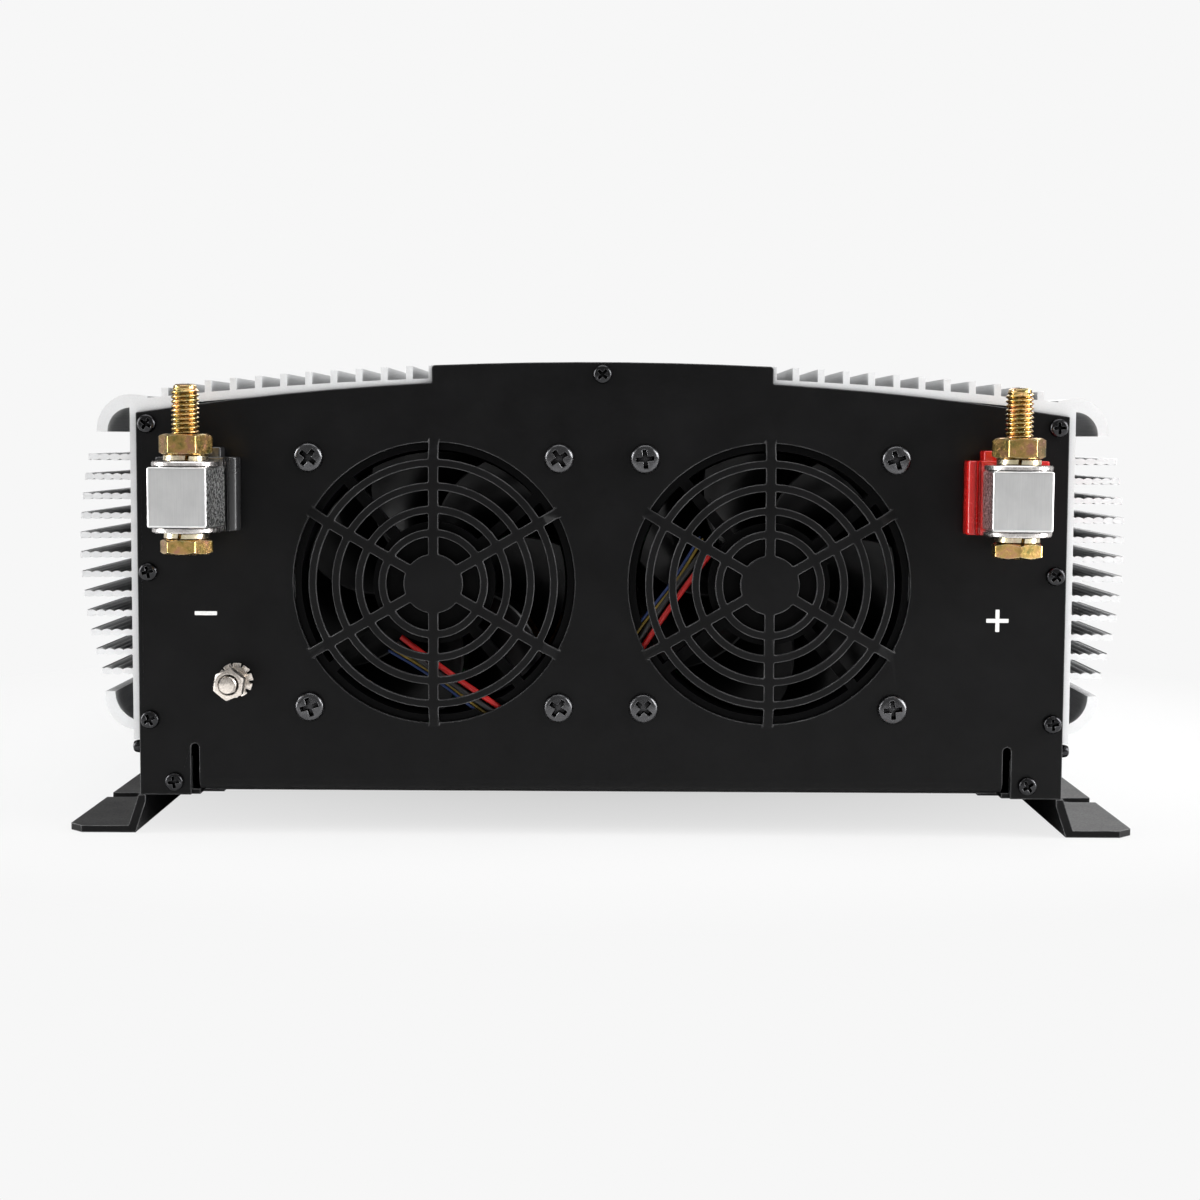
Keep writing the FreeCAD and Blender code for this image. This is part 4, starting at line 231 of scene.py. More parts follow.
def yellow_zinc(name, *tones):
    """Chromate over zinc that drifts through four tones, with a painted highlight on its edges and painted
    shade in its corners.
    """
    s = Shader(name, Metallic=1.0)
    drift = s.noise(3.4, 3, 0.6)
    tone = s.ramp(drift, *zip((0.30, 0.43, 0.54, 0.68), tones))
    # Painted highlight: the edges are lightened to pale gold.
    highlit_tone = s.blend(s.math("MULTIPLY", s.edge_highlight(0.3), 0.95), tone, (0.98, 0.88, 0.58))
    # Painted shade: corners and recesses turn dark brown.
    s.colour(s.blend(s.shade_mask(0.7, 0.25, 0.8), (0.10, 0.055, 0.02), highlit_tone))
    s.rough(s.spread(s.noise(1.1, 3), 0.16, 0.3))
    s.bump(s.noise(0.8, 3), 0.015, 0.3)
    return s.material


def zinc_steel(name, light, rough, grain=0.9, edge_glint=0.5, hollow=0.8):
    """Zinc or nickel plated steel, with painted shade where it is recessed and a painted highlight on its
    edges.
    """
    s = Shader(name, Metallic=1.0)
    cloud = s.noise(2.4, 3)
    low = [c * 0.8 for c in light]
    # Painted highlight: the edges are lightened.
    highlit_tone = s.blend(s.math("MULTIPLY", s.edge_highlight(0.2), edge_glint), s.ramp(cloud, (0.35, low), (0.65, light)),
                   [min(1.0, c * 1.4 + 0.12) for c in light])
    # Painted shade: recesses, such as a screw's cross, turn nearly black.
    s.colour(s.blend(s.shade_mask(hollow), [c * 0.06 for c in light], highlit_tone))
    s.rough(s.spread(s.noise(grain, 3), rough - 0.07, rough + 0.09))
    s.bump(s.noise(grain, 2), 0.012, 0.3)
    return s.material


def block_plating():
    """Nickel plated brass block: fine vertical brushing on the ends and grainy sawn sides."""
    s = Shader("nickel_plated_block", Metallic=1.0)
    geometry = s.nodes.new("ShaderNodeNewGeometry")
    split = s.nodes.new("ShaderNodeSeparateXYZ")
    s.link(geometry.outputs["Normal"], split.inputs["Vector"])
    side = s.spread(s.math("ABSOLUTE", split.outputs["X"]), 0.0, 1.0, 0.75, 0.95)
    brushed = s.noise(0.25, 2, 0.5, stretch=(1, 1, 30))
    grain = s.noise(0.85, 2, 0.8)
    cloud = s.noise(7, 3)
    smooth = s.ramp(s.math("ADD", s.math("MULTIPLY", brushed, 0.35), s.math("MULTIPLY", cloud, 0.65)),
                    (0.3, (0.62, 0.62, 0.62)), (0.7, (0.74, 0.74, 0.735)))
    rough_tone = s.ramp(grain, (0.46, (0.02, 0.02, 0.02)), (0.56, (0.97, 0.97, 0.96)))
    tone = s.blend(side, smooth, rough_tone)
    # Painted highlight: the edges are lightened to near white.
    s.colour(s.blend(s.math("MULTIPLY", s.edge_highlight(0.45), 0.8), tone, (0.93, 0.93, 0.92)))
    s.rough(s.math("ADD", s.spread(brushed, 0.32, 0.37), s.math("MULTIPLY", side, 0.05)))
    s.bump(s.math("MULTIPLY", grain, side), 0.12, 0.7).bump(brushed, 0.004, 0.25)
    return s.material


def moulded(name, colour, rough, coat=0.0, gloss=0.5):
    """Moulded plastic with flow mottling and a fine spark-eroded grain."""
    s = Shader(name, IOR=1.48, Specular_IOR_Level=gloss)
    s.surface.inputs["Coat Weight"].default_value = coat
    s.surface.inputs["Coat Roughness"].default_value = 0.12
    cloud = s.noise(9, 3)
    low = [c * 0.78 for c in colour]
    pale = [min(1.0, c * 1.35 + 0.02) for c in colour]
    # Painted highlight: the edges are paled.
    edge_sheen = s.math("MULTIPLY", s.edge_highlight(0.25), 0.35)
    s.colour(s.blend(edge_sheen, s.ramp(cloud, (0.3, low), (0.7, colour)), pale))
    fine = s.spread(s.noise(0.5, 2), -0.03, 0.03)
    s.rough(s.math("ADD", s.spread(cloud, rough - 0.05, rough + 0.05), fine))
    s.bump(s.noise(0.45, 2), 0.02, 0.4)
    return s.material


def coarse_metal(name, light, dark, rough, size=3.0, metallic=1.0):
    """Plain inner metal such as copper, ferrite or milled bar."""
    s = Shader(name, Metallic=metallic)
    cloud = s.noise(size, 4)
    s.colour(s.ramp(cloud, (0.3, dark), (0.7, light)))
    s.rough(s.spread(s.noise(size / 3, 3), rough - 0.08, rough + 0.1))
    s.bump(s.noise(size / 5, 3), 0.03, 0.4)
    return s.material


def white_ink():
    """Screen printed white ink with a slightly uneven film."""
    s = Shader("white_ink", IOR=1.5)
    s.colour(s.ramp(s.noise(0.9, 3), (0.3, (0.78, 0.78, 0.77)), (0.7, (0.9, 0.9, 0.89))))
    s.rough(s.spread(s.noise(0.6, 2), 0.42, 0.58))
    s.bump(s.noise(0.4, 2), 0.015, 0.4)
    return s.material


def circuit_board():
    """Green solder mask over faint copper tracks."""
    s = Shader("circuit_board", IOR=1.5)
    line = s.spread(s.cell_edges(7.0), 1.0, 0.0, 0.03, 0.06)
    s.colour(s.blend(s.math("MULTIPLY", line, 0.5), (0.012, 0.10, 0.035), (0.05, 0.22, 0.08)))
    s.rough(s.spread(s.noise(5, 2), 0.28, 0.4))
    s.bump(line, 0.04, 0.5)
    return s.material


# ---------------------------------------------------------------- mesh builders

def smooth_group(limit):
    """Geometry nodes that drop imported normals and shade smooth between edges sharper than the limit."""
    group = bpy.data.node_groups.new("shade_by_angle", "GeometryNodeTree")
    group.interface.new_socket("Geometry", in_out="INPUT", socket_type="NodeSocketGeometry")
    group.interface.new_socket("Geometry", in_out="OUTPUT", socket_type="NodeSocketGeometry")
    nodes, links = group.nodes, group.links
    strip = nodes.new("GeometryNodeRemoveAttribute")
    strip.inputs["Name"].default_value = "custom_normal"
    faces = nodes.new("GeometryNodeSetShadeSmooth")
    edges = nodes.new("GeometryNodeSetShadeSmooth")
    edges.domain = "EDGE"
    angle = nodes.new("GeometryNodeInputMeshEdgeAngle")
    compare = nodes.new("FunctionNodeCompare")
    compare.operation = "LESS_THAN"
    compare.inputs[1].default_value = limit
    links.new(angle.outputs["Unsigned Angle"], compare.inputs[0])
    links.new(compare.outputs[0], edges.inputs["Shade Smooth"])
    links.new(nodes.new("NodeGroupInput").outputs[0], strip.inputs["Geometry"])
    links.new(strip.outputs["Geometry"], faces.inputs["Geometry"])
    links.new(faces.outputs["Geometry"], edges.inputs["Geometry"])
    links.new(edges.outputs["Geometry"], nodes.new("NodeGroupOutput").inputs[0])
    return group


SMOOTH_BELOW = math.radians(38)
ROUND_ABOVE = math.radians(40)
SHADE = smooth_group(SMOOTH_BELOW)


def soften(obj, width=0.0, segments=2):
    """Round the sharp edges by this width in millimetres and shade the faces smooth."""
    weld = obj.modifiers.new("weld", "WELD")
    weld.merge_threshold = 1e-6
    if width:
        flatten = obj.modifiers.new("flatten", "DECIMATE")
        flatten.decimate_type = "DISSOLVE"
        flatten.angle_limit = math.radians(0.5)
        bevel = obj.modifiers.new("round", "BEVEL")
        bevel.width = width * MM
        bevel.segments = segments
        bevel.limit_method = "ANGLE"
        bevel.angle_limit = ROUND_ABOVE
        bevel.use_clamp_overlap = False
        bevel.miter_outer = "MITER_ARC"
    shade = obj.modifiers.new("shade", "NODES")
    shade.node_group = SHADE
    weigh = obj.modifiers.new("weigh", "WEIGHTED_NORMAL")
    weigh.keep_sharp = True
    return obj


def piece(name, parts, material, body, replaced=(), width=0.0, segments=2):
    """One visible piece from (points, faces) parts in millimetres, in place, riding on a body."""
    vertices, faces = [], []
    for points, polygons in parts:
        start = len(vertices)
        vertices += [Vector(p) * MM for p in points]
        faces += [[start + i for i in polygon] for polygon in polygons]
    mesh = bpy.data.meshes.new(name)
    mesh.from_pydata(vertices, [], faces)
    bm = bmesh.new()
    bm.from_mesh(mesh)
    bmesh.ops.recalc_face_normals(bm, faces=bm.faces)
    bm.to_mesh(mesh)
    bm.free()
    mesh.materials.append(material)
    obj = bpy.data.objects.new(name, mesh)
    bpy.context.scene.collection.objects.link(obj)
    soften(obj, width, segments)
    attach(obj, body)
    if replaced:
        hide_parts(*replaced)
    return obj


def skin(rings, closed=False):
    """Faces over rings of equal length: a torus when closed, otherwise with both ends filled."""
    count = len(rings[0])
    points = [p for ring in rings for p in ring]
    pairs = list(zip(range(len(rings)), range(1, len(rings))))
    if closed:
        pairs.append((len(rings) - 1, 0))
    faces = []
    for a, b in pairs:
        for i in range(count):
            j = (i + 1) % count
            faces.append((a * count + i, a * count + j, b * count + j, b * count + i))
    if not closed:
        faces.append(tuple(reversed(range(count))))
        faces.append(tuple((len(rings) - 1) * count + i for i in range(count)))
    return points, faces


def angles(steps):
    return [2 * math.pi * i / steps for i in range(steps)]


def circle(radius, z, around):
    """A ring round Z with a point at each of the angles."""
    return [Vector((radius * math.cos(a), radius * math.sin(a), z)) for a in around]


def turned(profile, steps=48, closed=False):
    """A lathe shape round Z from (radius, height) points."""
    return skin([circle(radius, height, angles(steps)) for radius, height in profile], closed)


def moved(part, matrix):
    points, faces = part
    return [matrix @ Vector(p) for p in points], faces


def standing(low, high):
    """Matrix that centres a shape built round Z on a box's middle, seen from above."""
    return Matrix.Translation(((low.x + high.x) / 2, (low.y + high.y) / 2, 0))


def aim(place, outward, turn=0.0):
    """Matrix that lays a shape built along +Z at a place, with +Z pointing outward."""
    return (Matrix.Translation(place) @ Vector(outward).to_track_quat("Z", "Y").to_matrix().to_4x4()
            @ Matrix.Rotation(turn, 4, "Z"))


def outline_prism(outline, low, high, edge, steps=4):
    """Rings of a plan outline raised from low to high along Z, with its ends rounded by the edge."""
    arcs = [math.pi / 2 * i / steps for i in range(steps + 1)]
    stations = [(low + edge * (1 - math.sin(a)), edge * (1 - math.cos(a))) for a in reversed(arcs)]
    stations += [(low + high - z, inset) for z, inset in reversed(stations)]
    return [[Vector((x, y, z)) for x, y in outline(inset)] for z, inset in stations]


def rounded_outline(half_x, half_y, radius, steps=8):
    """Plan outline of a rounded rectangle as a function of an inset."""
    def at(inset):
        points = []
        for quarter, (sx, sy) in enumerate(((1, 1), (-1, 1), (-1, -1), (1, -1))):
            for i in range(steps + 1):
                a = math.pi / 2 * (quarter + i / steps)
                points.append((sx * (half_x - radius) + (radius - inset) * math.cos(a),
                               sy * (half_y - radius) + (radius - inset) * math.sin(a)))
        return points
    return at


def hollow(outer_rings, bore, low, high):
    """Close rings into a body with a round bore along Z."""
    around = [math.atan2(p.y, p.x) for p in outer_rings[0]]
    lip = 0.35
    rings = [circle(bore, low + lip, around), circle(bore + lip, low, around)] + outer_rings
    rings += [circle(bore + lip, high, around), circle(bore, high - lip, around)]
    return skin(rings, closed=True)


def hexagon(across, z_low, z_high, bore=0.0):
    """A hex nut or bolt head, flats facing X, with the curved corner chamfers a turned blank leaves."""
    flat = across / 2
    start = flat * 0.93
    slope = math.tan(math.radians(28))
    around = [math.radians(60 * side + turn) for side in range(6)
              for turn in (-28.6, -24, -18, -12, -6, 0, 6, 12, 18, 24, 28.6)]

    def rim(a):
        return flat / math.cos((a + math.pi / 6) % (math.pi / 3) - math.pi / 6)

    def ring(share, z_of):
        radii = [start + (rim(a) - start) * share for a in around]
        return [Vector((r * math.cos(a), r * math.sin(a), z_of(max(0.0, r - start) * slope)))
                for a, r in zip(around, radii)]

    shares = (0.0, 0.25, 0.5, 0.75, 1.0)
    rings = [ring(share, lambda drop: z_low + drop) for share in shares]
    rings += [ring(share, lambda drop: z_high - drop) for share in reversed(shares)]
    if not bore:
        return skin(rings)
    lip = 0.4
    rings = [circle(bore, z_low + lip, around), circle(bore + lip, z_low, around)] + rings
    rings += [circle(bore + lip, z_high, around), circle(bore, z_high - lip, around)]
    return skin(rings, closed=True)


def thread(radius, pitch, low, high, taper=0.9, steps=36):
    """Rings of a screw thread along Z: a rounded ridge that climbs one pitch each turn."""
    depth = 0.55 * pitch
    rings_per_turn = 10
    rings = []
    count = int((high - low) / pitch * rings_per_turn)
    for i in range(count + 1):
        z = low + (high - low) * i / count
        edge = min(1.0, (z - low) / taper, (high - z) / taper)
        ring = []
        for a in angles(steps):
            phase = (z / pitch - a / (2 * math.pi)) % 1.0
            ridge = min(1.0, 1.25 * (1 - abs(2 * phase - 1)))
            r = radius - depth * (1 - ridge * edge) - 0.12 * depth
            ring.append(Vector((r * math.cos(a), r * math.sin(a), z)))
        rings.append(ring)
    return rings


def islands(node):
    """Boxes, in millimetres, of the separate solids in a CAD node, in order of their low corners."""
    bm = bmesh.new()
    bm.from_mesh(frame["nodes"][node].data)
    bmesh.ops.remove_doubles(bm, verts=bm.verts, dist=1e-6)
    seen = set()
    boxes = []
    for vertex in bm.verts:
        if vertex in seen:
            continue
        seen.add(vertex)
        stack, found = [vertex], []
        while stack:
            one = stack.pop()
            found.append(one.co / MM)
            for edge in one.link_edges:
                other = edge.other_vert(one)
                if other not in seen:
                    seen.add(other)
                    stack.append(other)
        boxes.append(tuple(Vector([pick(p[i] for p in found) for i in range(3)]) for pick in (min, max)))
    bm.free()
    return sorted(boxes, key=lambda box: tuple(round(value, 2) for value in box[0]))


def box_mm(node):
    """A node's box in millimetres."""
    low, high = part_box(node)
    return low / MM, high / MM


def carve(part, cutter):
    """Cut one closed (points, faces) part with another."""
    objects = []
    for points, faces in (part, cutter):
        mesh = bpy.data.meshes.new("work")
        mesh.from_pydata([tuple(p) for p in points], [], faces)
        bm = bmesh.new()
        bm.from_mesh(mesh)
        bmesh.ops.recalc_face_normals(bm, faces=bm.faces)
        bm.to_mesh(mesh)
        bm.free()
        obj = bpy.data.objects.new("work", mesh)
        bpy.context.scene.collection.objects.link(obj)
        objects.append(obj)
    modifier = objects[0].modifiers.new("cut", "BOOLEAN")
    modifier.operation = "DIFFERENCE"
    modifier.solver = "EXACT"
    modifier.object = objects[1]
    graph = bpy.context.evaluated_depsgraph_get()
    result = objects[0].evaluated_get(graph).to_mesh()
    out = [v.co.copy() for v in result.vertices], [tuple(p.vertices) for p in result.polygons]
    for obj in objects:
        bpy.data.objects.remove(obj)
    return out


def cross_cutter(reach, width, depth, top):
    """A tapered cross that leaves a screw's driving recess."""
    def ring(arm, half, z):
        corners = ((arm, half), (half, half), (half, arm), (-half, arm), (-half, half), (-arm, half),
                   (-arm, -half), (-half, -half), (-half, -arm), (half, -arm), (half, -half), (arm, -half))
        return [Vector((x, y, z)) for x, y in corners]
    return skin([ring(reach * 0.72, width * 0.42, top - depth), ring(reach, width / 2, top + 0.01),
                 ring(reach * 1.02, width / 2, top + 1)])


def pan_head(radius, height, shank, length):
    """A cross-head screw along Z: the head sits on z 0 and the shank runs down."""
    profile = [(0.02, -length), (shank - 0.3, -length), (shank, -length + 0.4), (shank, -0.15),
               (radius - 0.15, 0.0), (radius, 0.14)]
    wall = 0.34 * height
    for i in range(7):
        a = math.pi / 2 * i / 6
        profile.append((radius * (0.62 + 0.38 * math.cos(a)), wall + (height - wall) * 0.86 * math.sin(a)))
    profile += [(radius * 0.4, height * 0.965), (radius * 0.2, height * 0.995), (0.02, height)]
    blank = turned(profile, 48)
    reach = radius * 0.66
    return carve(blank, cross_cutter(reach, reach * 0.5, height * 0.85, height))


# ---------------------------------------------------------------- finishes on the CAD nodes

SILVER = silver_anodised()
GOLD = yellow_zinc("yellow_zinc", (0.20, 0.19, 0.06), (0.42, 0.29, 0.09),
                   (0.58, 0.36, 0.13), (0.55, 0.27, 0.17))
PALE_GOLD = yellow_zinc("pale_zinc", (0.62, 0.52, 0.30), (0.78, 0.68, 0.44),
                        (0.85, 0.76, 0.56), (0.80, 0.62, 0.46))
ZINC = zinc_steel("bright_zinc", (0.78, 0.74, 0.72), 0.24)
GROUND = zinc_steel("ground_zinc", (0.82, 0.75, 0.68), 0.28)
ROTOR = moulded("rotor_plastic", (0.003, 0.003, 0.0033), 0.34, gloss=0.22)
BLOCK = block_plating()
INK = white_ink()
FINISHES = {
    "white_anodised_aluminium": SILVER,
    "black_textured_paint": black_paint(),
    # The screw finishes reach further into recesses for their painted shade and paint a stronger highlight
    # on their rims.
    "black_zinc_steel": zinc_steel("black_zinc", (0.04, 0.04, 0.042), 0.2, edge_glint=0.9, hollow=1.6),
    "dark_nickel_steel": zinc_steel("dark_nickel", (0.10, 0.10, 0.104), 0.24, grain=0.35, edge_glint=0.8,
                                    hollow=2.2),
    "rivet_aluminium": zinc_steel("dark_rivet", (0.12, 0.12, 0.12), 0.4),
    "black_insulator": moulded("black_insulator", (0.02, 0.02, 0.021), 0.3, coat=0.3),
    "red_insulator": moulded("red_insulator", (0.53, 0.008, 0.006), 0.24, coat=0.4),
    "nickel_plated_brass": BLOCK,
    "yellow_zinc_steel": GOLD,
    "bright_zinc_steel": ZINC,
    "black_fan_plastic": moulded("fan_plastic", (0.002, 0.002, 0.0022), 0.45, gloss=0.06),
    "stator_copper": coarse_metal("stator_copper", (0.72, 0.36, 0.18), (0.45, 0.2, 0.1), 0.35, 1.4),
    "red_lead": moulded("red_lead", (0.55, 0.012, 0.01), 0.38),
    "black_lead": moulded("black_lead", (0.012, 0.012, 0.012), 0.4),
    "outlet_plastic": moulded("outlet_plastic", (0.03, 0.03, 0.032), 0.34),
    "contact_brass": coarse_metal("contact_brass", (0.85, 0.66, 0.32), (0.62, 0.45, 0.2), 0.28, 2.0),
    "switch_plastic": moulded("switch_plastic", (0.016, 0.016, 0.017), 0.33),
    "button_plastic": moulded("button_plastic", (0.72, 0.72, 0.68), 0.3),
    "port_steel": zinc_steel("port_steel", (0.62, 0.62, 0.63), 0.25),
    "lamp_plastic": moulded("lamp_plastic", (0.05, 0.42, 0.11), 0.16, coat=0.6),
    "board_green": circuit_board(),
    "standoff_brass": coarse_metal("standoff_brass", (0.78, 0.6, 0.3), (0.6, 0.44, 0.2), 0.3, 1.2),
    "ferrite": coarse_metal("ferrite", (0.07, 0.07, 0.072), (0.035, 0.035, 0.036), 0.62, 2.5, 0.2),
    "winding_copper": coarse_metal("winding_copper", (0.34, 0.15, 0.06), (0.12, 0.05, 0.02), 0.4, 1.6),
    "capacitor_sleeve": moulded("capacitor_sleeve", (0.03, 0.04, 0.16), 0.3),
    "transistor_epoxy": moulded("transistor_epoxy", (0.02, 0.02, 0.02), 0.55),
    "pad_silicone": moulded("pad_silicone", (0.42, 0.43, 0.46), 0.6),
    "clamp_aluminium": coarse_metal("clamp_aluminium", (0.74, 0.74, 0.75), (0.58, 0.58, 0.6), 0.35, 1.0),
    "fuse_plastic": moulded("fuse_plastic", (0.04, 0.32, 0.1), 0.25),
    "bar_copper": coarse_metal("bar_copper", (0.78, 0.42, 0.24), (0.55, 0.26, 0.13), 0.3, 2.2),
}
# Widths of the edges that are really rounded; the other edges only get a painted highlight from their
# material.
EDGES = {"dc_end_plate": 0.28, "busbars": 0.3, "fuses": 0.25}
for row in frame["record"]["subparts"]:
    node = frame["nodes"][row["node"]]
    node.data.materials.clear()
    node.data.materials.append(FINISHES[row["material_slot"]])
    soften(node, EDGES.get(row["node"], 0.0))


# ---------------------------------------------------------------- screws

def screw_set(name, node, height, slot):
    """Cross-head screws in place of a node's plain ones, each turned its own way."""
    boxes = islands(node)
    middle = (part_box(node)[0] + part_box(node)[1]) / 2 / MM
    parts = []
    master = None
    for low, high in boxes:
        size = high - low
        centre = (low + high) / 2
        least, second, _ = sorted(size)
        axis = max(range(3), key=lambda i: abs(size[i] - least) + abs(size[i] - second))
        sign = 1 if centre[axis] > (0 if axis != 2 else middle[2]) else -1
        outward = Vector([sign if i == axis else 0 for i in range(3)])
        radius = min(size) / 2
        if master is None:
            master = pan_head(radius, height, radius * 0.62, size[axis] - height)
        place = centre.copy()
        place[axis] = (high if sign > 0 else low)[axis] - sign * height
        parts.append(moved(master, aim(place, outward, rng.uniform(0, math.pi / 2))))
    return piece(name, parts, FINISHES[slot], "case", (node,), width=0.06, segments=1)


screw_set("dc_plate_screw_set", "dc_plate_screws", 1.9, "black_zinc_steel")
screw_set("ac_plate_screw_set", "ac_plate_screws", 1.9, "black_zinc_steel")
screw_set("base_side_screw_set", "base_side_screws", 3.0, "black_zinc_steel")
screw_set("ac_cover_screw_set", "ac_cover_screws", 1.9, "black_zinc_steel")
screw_set("fan_screw_set", "fan_screws", 2.3, "dark_nickel_steel")


# ---------------------------------------------------------------- DC terminals

BOLT_PITCH = 1.25
BOLT_RADIUS = 3.95
NUT_BORE = 3.3
FLAT_WASHER_BORE = 4.3
SPLIT_WASHER_BORE = 4.15
BLOCK_BORE = 4.4
BOLT_TURNS = (27, -3.6)
bolt_parts, nut_parts, spring_parts, flat_parts = [], [], [], []
head_top = min(b[0].z for b in islands("terminal_spring_washers"))
for low, high in islands("terminal_bolts"):
    axis = standing(low, high)
    shank = BOLT_RADIUS - 0.1
    rings = [circle(r, z, angles(36)) for r, z in ((shank, head_top - 0.5), (shank, head_top + 2))]
    rings += thread(BOLT_RADIUS, BOLT_PITCH, head_top + 2.2, high.z - 0.9)
    tip = ((BOLT_RADIUS - 0.75, high.z - 0.5), (BOLT_RADIUS - 1.4, high.z), (0.3, high.z))
    rings += [circle(r, z, angles(36)) for r, z in tip]
    bolt_parts.append(moved(skin(rings), axis))
    turn = Matrix.Rotation(math.radians(BOLT_TURNS[0] if low.x < 0 else BOLT_TURNS[1]), 4, "Z")
    bolt_parts.append(moved(hexagon(high.y - low.y, low.z, head_top), axis @ turn))
for low, high in islands("terminal_nuts"):
    turn = Matrix.Rotation(math.radians(30 + rng.uniform(-2, 2)), 4, "Z")
    nut = hexagon(high.y - low.y, low.z, high.z, NUT_BORE)
    nut_parts.append(moved(nut, standing(low, high) @ turn))
for low, high in islands("terminal_flat_washers"):
    outer, edge = (high.x - low.x) / 2, 0.3
    profile = [(FLAT_WASHER_BORE, low.z), (outer - edge, low.z), (outer, low.z + edge),
               (outer, high.z - edge), (outer - edge, high.z), (FLAT_WASHER_BORE, high.z)]
    flat_parts.append(moved(turned(profile, 64, closed=True), standing(low, high)))
for low, high in islands("terminal_spring_washers"):
    outer, inner, gap = (high.x - low.x) / 2, SPLIT_WASHER_BORE, math.radians(9)
    start = rng.uniform(-2.2, -0.9)
    rise = 0.15
    thick = high.z - low.z - rise
    section = ((inner, 0, 0), (outer - 0.2, 0, 0), (outer, 0.2, 0.2), (outer, thick - 0.2, 0.9),
               (outer - 0.2, thick, 1), (inner, thick, 1))
    rings = []
    stations = 60
    for i in range(stations + 1):
        share = i / stations
        a = start + gap + (2 * math.pi - gap) * share
        foot = low.z + rise * share
        rings.append([Vector((r * math.cos(a + lean * 0.05), r * math.sin(a + lean * 0.05), foot + z))
                      for r, z, lean in section])
    spring_parts.append(moved(skin(rings), standing(low, high)))
for name, parts, material, slot, node in (
        ("terminal_threaded_bolts", bolt_parts, GOLD, "yellow_zinc_steel", "terminal_bolts"),
        ("terminal_hex_nuts", nut_parts, GOLD, "yellow_zinc_steel", "terminal_nuts"),
        ("terminal_split_washers", spring_parts, PALE_GOLD, "yellow_zinc_steel", "terminal_spring_washers"),
        ("terminal_plain_washers", flat_parts, ZINC, "bright_zinc_steel", "terminal_flat_washers")):
    piece(name, parts, material, "case", (node,))

# The blocks sit a little off square round their bolts, and shorter so that they stay in their boxes.
BLOCK_SHORTER = 0.6
for node, degrees in (("terminal_block_negative", -4.5), ("terminal_block_positive", -2.5)):
    low, high = box_mm(node)
    plan = rounded_outline((high.x - low.x) / 2, (high.y - low.y) / 2 - BLOCK_SHORTER, 0.7)
    body = hollow(outline_prism(plan, low.z, high.z, 0.65), BLOCK_BORE, low.z, high.z)
    place = standing(low, high) @ Matrix.Rotation(math.radians(degrees), 4, "Z")
    piece(node + "_bar", [moved(body, place)], BLOCK, "case", (node,))


# ---------------------------------------------------------------- ground stud

low, high = box_mm("ground_stud")
nut_low, nut_high = box_mm("ground_nut")
star_low, star_high = box_mm("ground_lock_washers")
ground = Vector(((low.x + high.x) / 2, 0, (low.z + high.z) / 2))
facing = aim(ground, (0, -1, 0))
STUD_RADIUS, STUD_PITCH, STUD_HEAD, STUD_NUT_BORE = 2.45, 0.8, 3.2, 2.62
plate_face, stud_end = -star_high.y, -low.y
shank = STUD_RADIUS - 0.2
rings = [circle(r, z, angles(32)) for r, z in ((shank, -high.y), (shank, plate_face))]
rings += thread(STUD_RADIUS, STUD_PITCH, plate_face + 0.1, stud_end - 0.5, 0.5, steps=32)
tip = ((STUD_RADIUS - 0.12, stud_end - 0.45), (STUD_RADIUS - 0.3, stud_end - 0.12),
       (STUD_RADIUS - 0.7, stud_end), (0.2, stud_end))
rings += [circle(r, z, angles(32)) for r, z in tip]
inner_head = hexagon(high.z - low.z, -high.y, -high.y + STUD_HEAD)
piece("ground_threaded_stud", [moved(skin(rings), facing), moved(inner_head, facing)], GROUND, "case",
      ("ground_stud",))
nut = hexagon(nut_high.z - nut_low.z, -nut_high.y, -nut_low.y, STUD_NUT_BORE)
nut_turn = Matrix.Rotation(math.radians(-9), 4, "Z")
piece("ground_hex_nut", [moved(nut, facing @ nut_turn)], GROUND, "case", ("ground_nut",))


def star_washer(outer, bore, low, high, teeth=10):
    """External tooth lock washer: a ring whose rim teeth are each twisted out of its plane."""
    root, share = outer * 0.78, 0.58
    half = (high - low) * 0.36
    rows = [(bore, 0.0), (root, 0.0), (outer * 0.9, 1.0), (outer, 1.0)]
    per_tooth = 12
    bottom, top = [], []
    for radius, out in rows:
        for ring, side in ((bottom, -1), (top, 1)):
            line = []
            for i, a in enumerate(angles(teeth * per_tooth)):
                along = (i % per_tooth) / per_tooth
                tooth = along < share
                r = radius if tooth else min(radius, root)
                lean = (along / share - 0.5) * half * 1.3 * out if tooth else 0.0
                z = (low + high) / 2 + side * half * 0.62 + lean
                line.append(Vector((r * math.cos(a), r * math.sin(a), z)))
            ring.append(line)
    return skin(bottom + top[::-1], closed=True)


half = (star_high.y - star_low.y) / 2
outer = (star_high.z - star_low.z) / 2
bore = STUD_RADIUS + 0.15
stars = [moved(star_washer(outer, bore, plate_face + i * half, plate_face + (i + 1) * half),
               facing @ Matrix.Rotation(0.12 * i, 4, "Z")) for i in range(2)]
piece("ground_star_washers", stars, GROUND, "case", ("ground_lock_washers",))


# ---------------------------------------------------------------- polarity marks

def printed_bar(centre_x, centre_z, width, height):
    """A thin printed bar on the DC plate."""
    rings = outline_prism(rounded_outline(width / 2, height / 2, 0.15, 4), 0.0, 0.04, 0.015, 2)
    return moved(skin(rings), aim((centre_x, DC_FACE, centre_z), (0, -1, 0)))


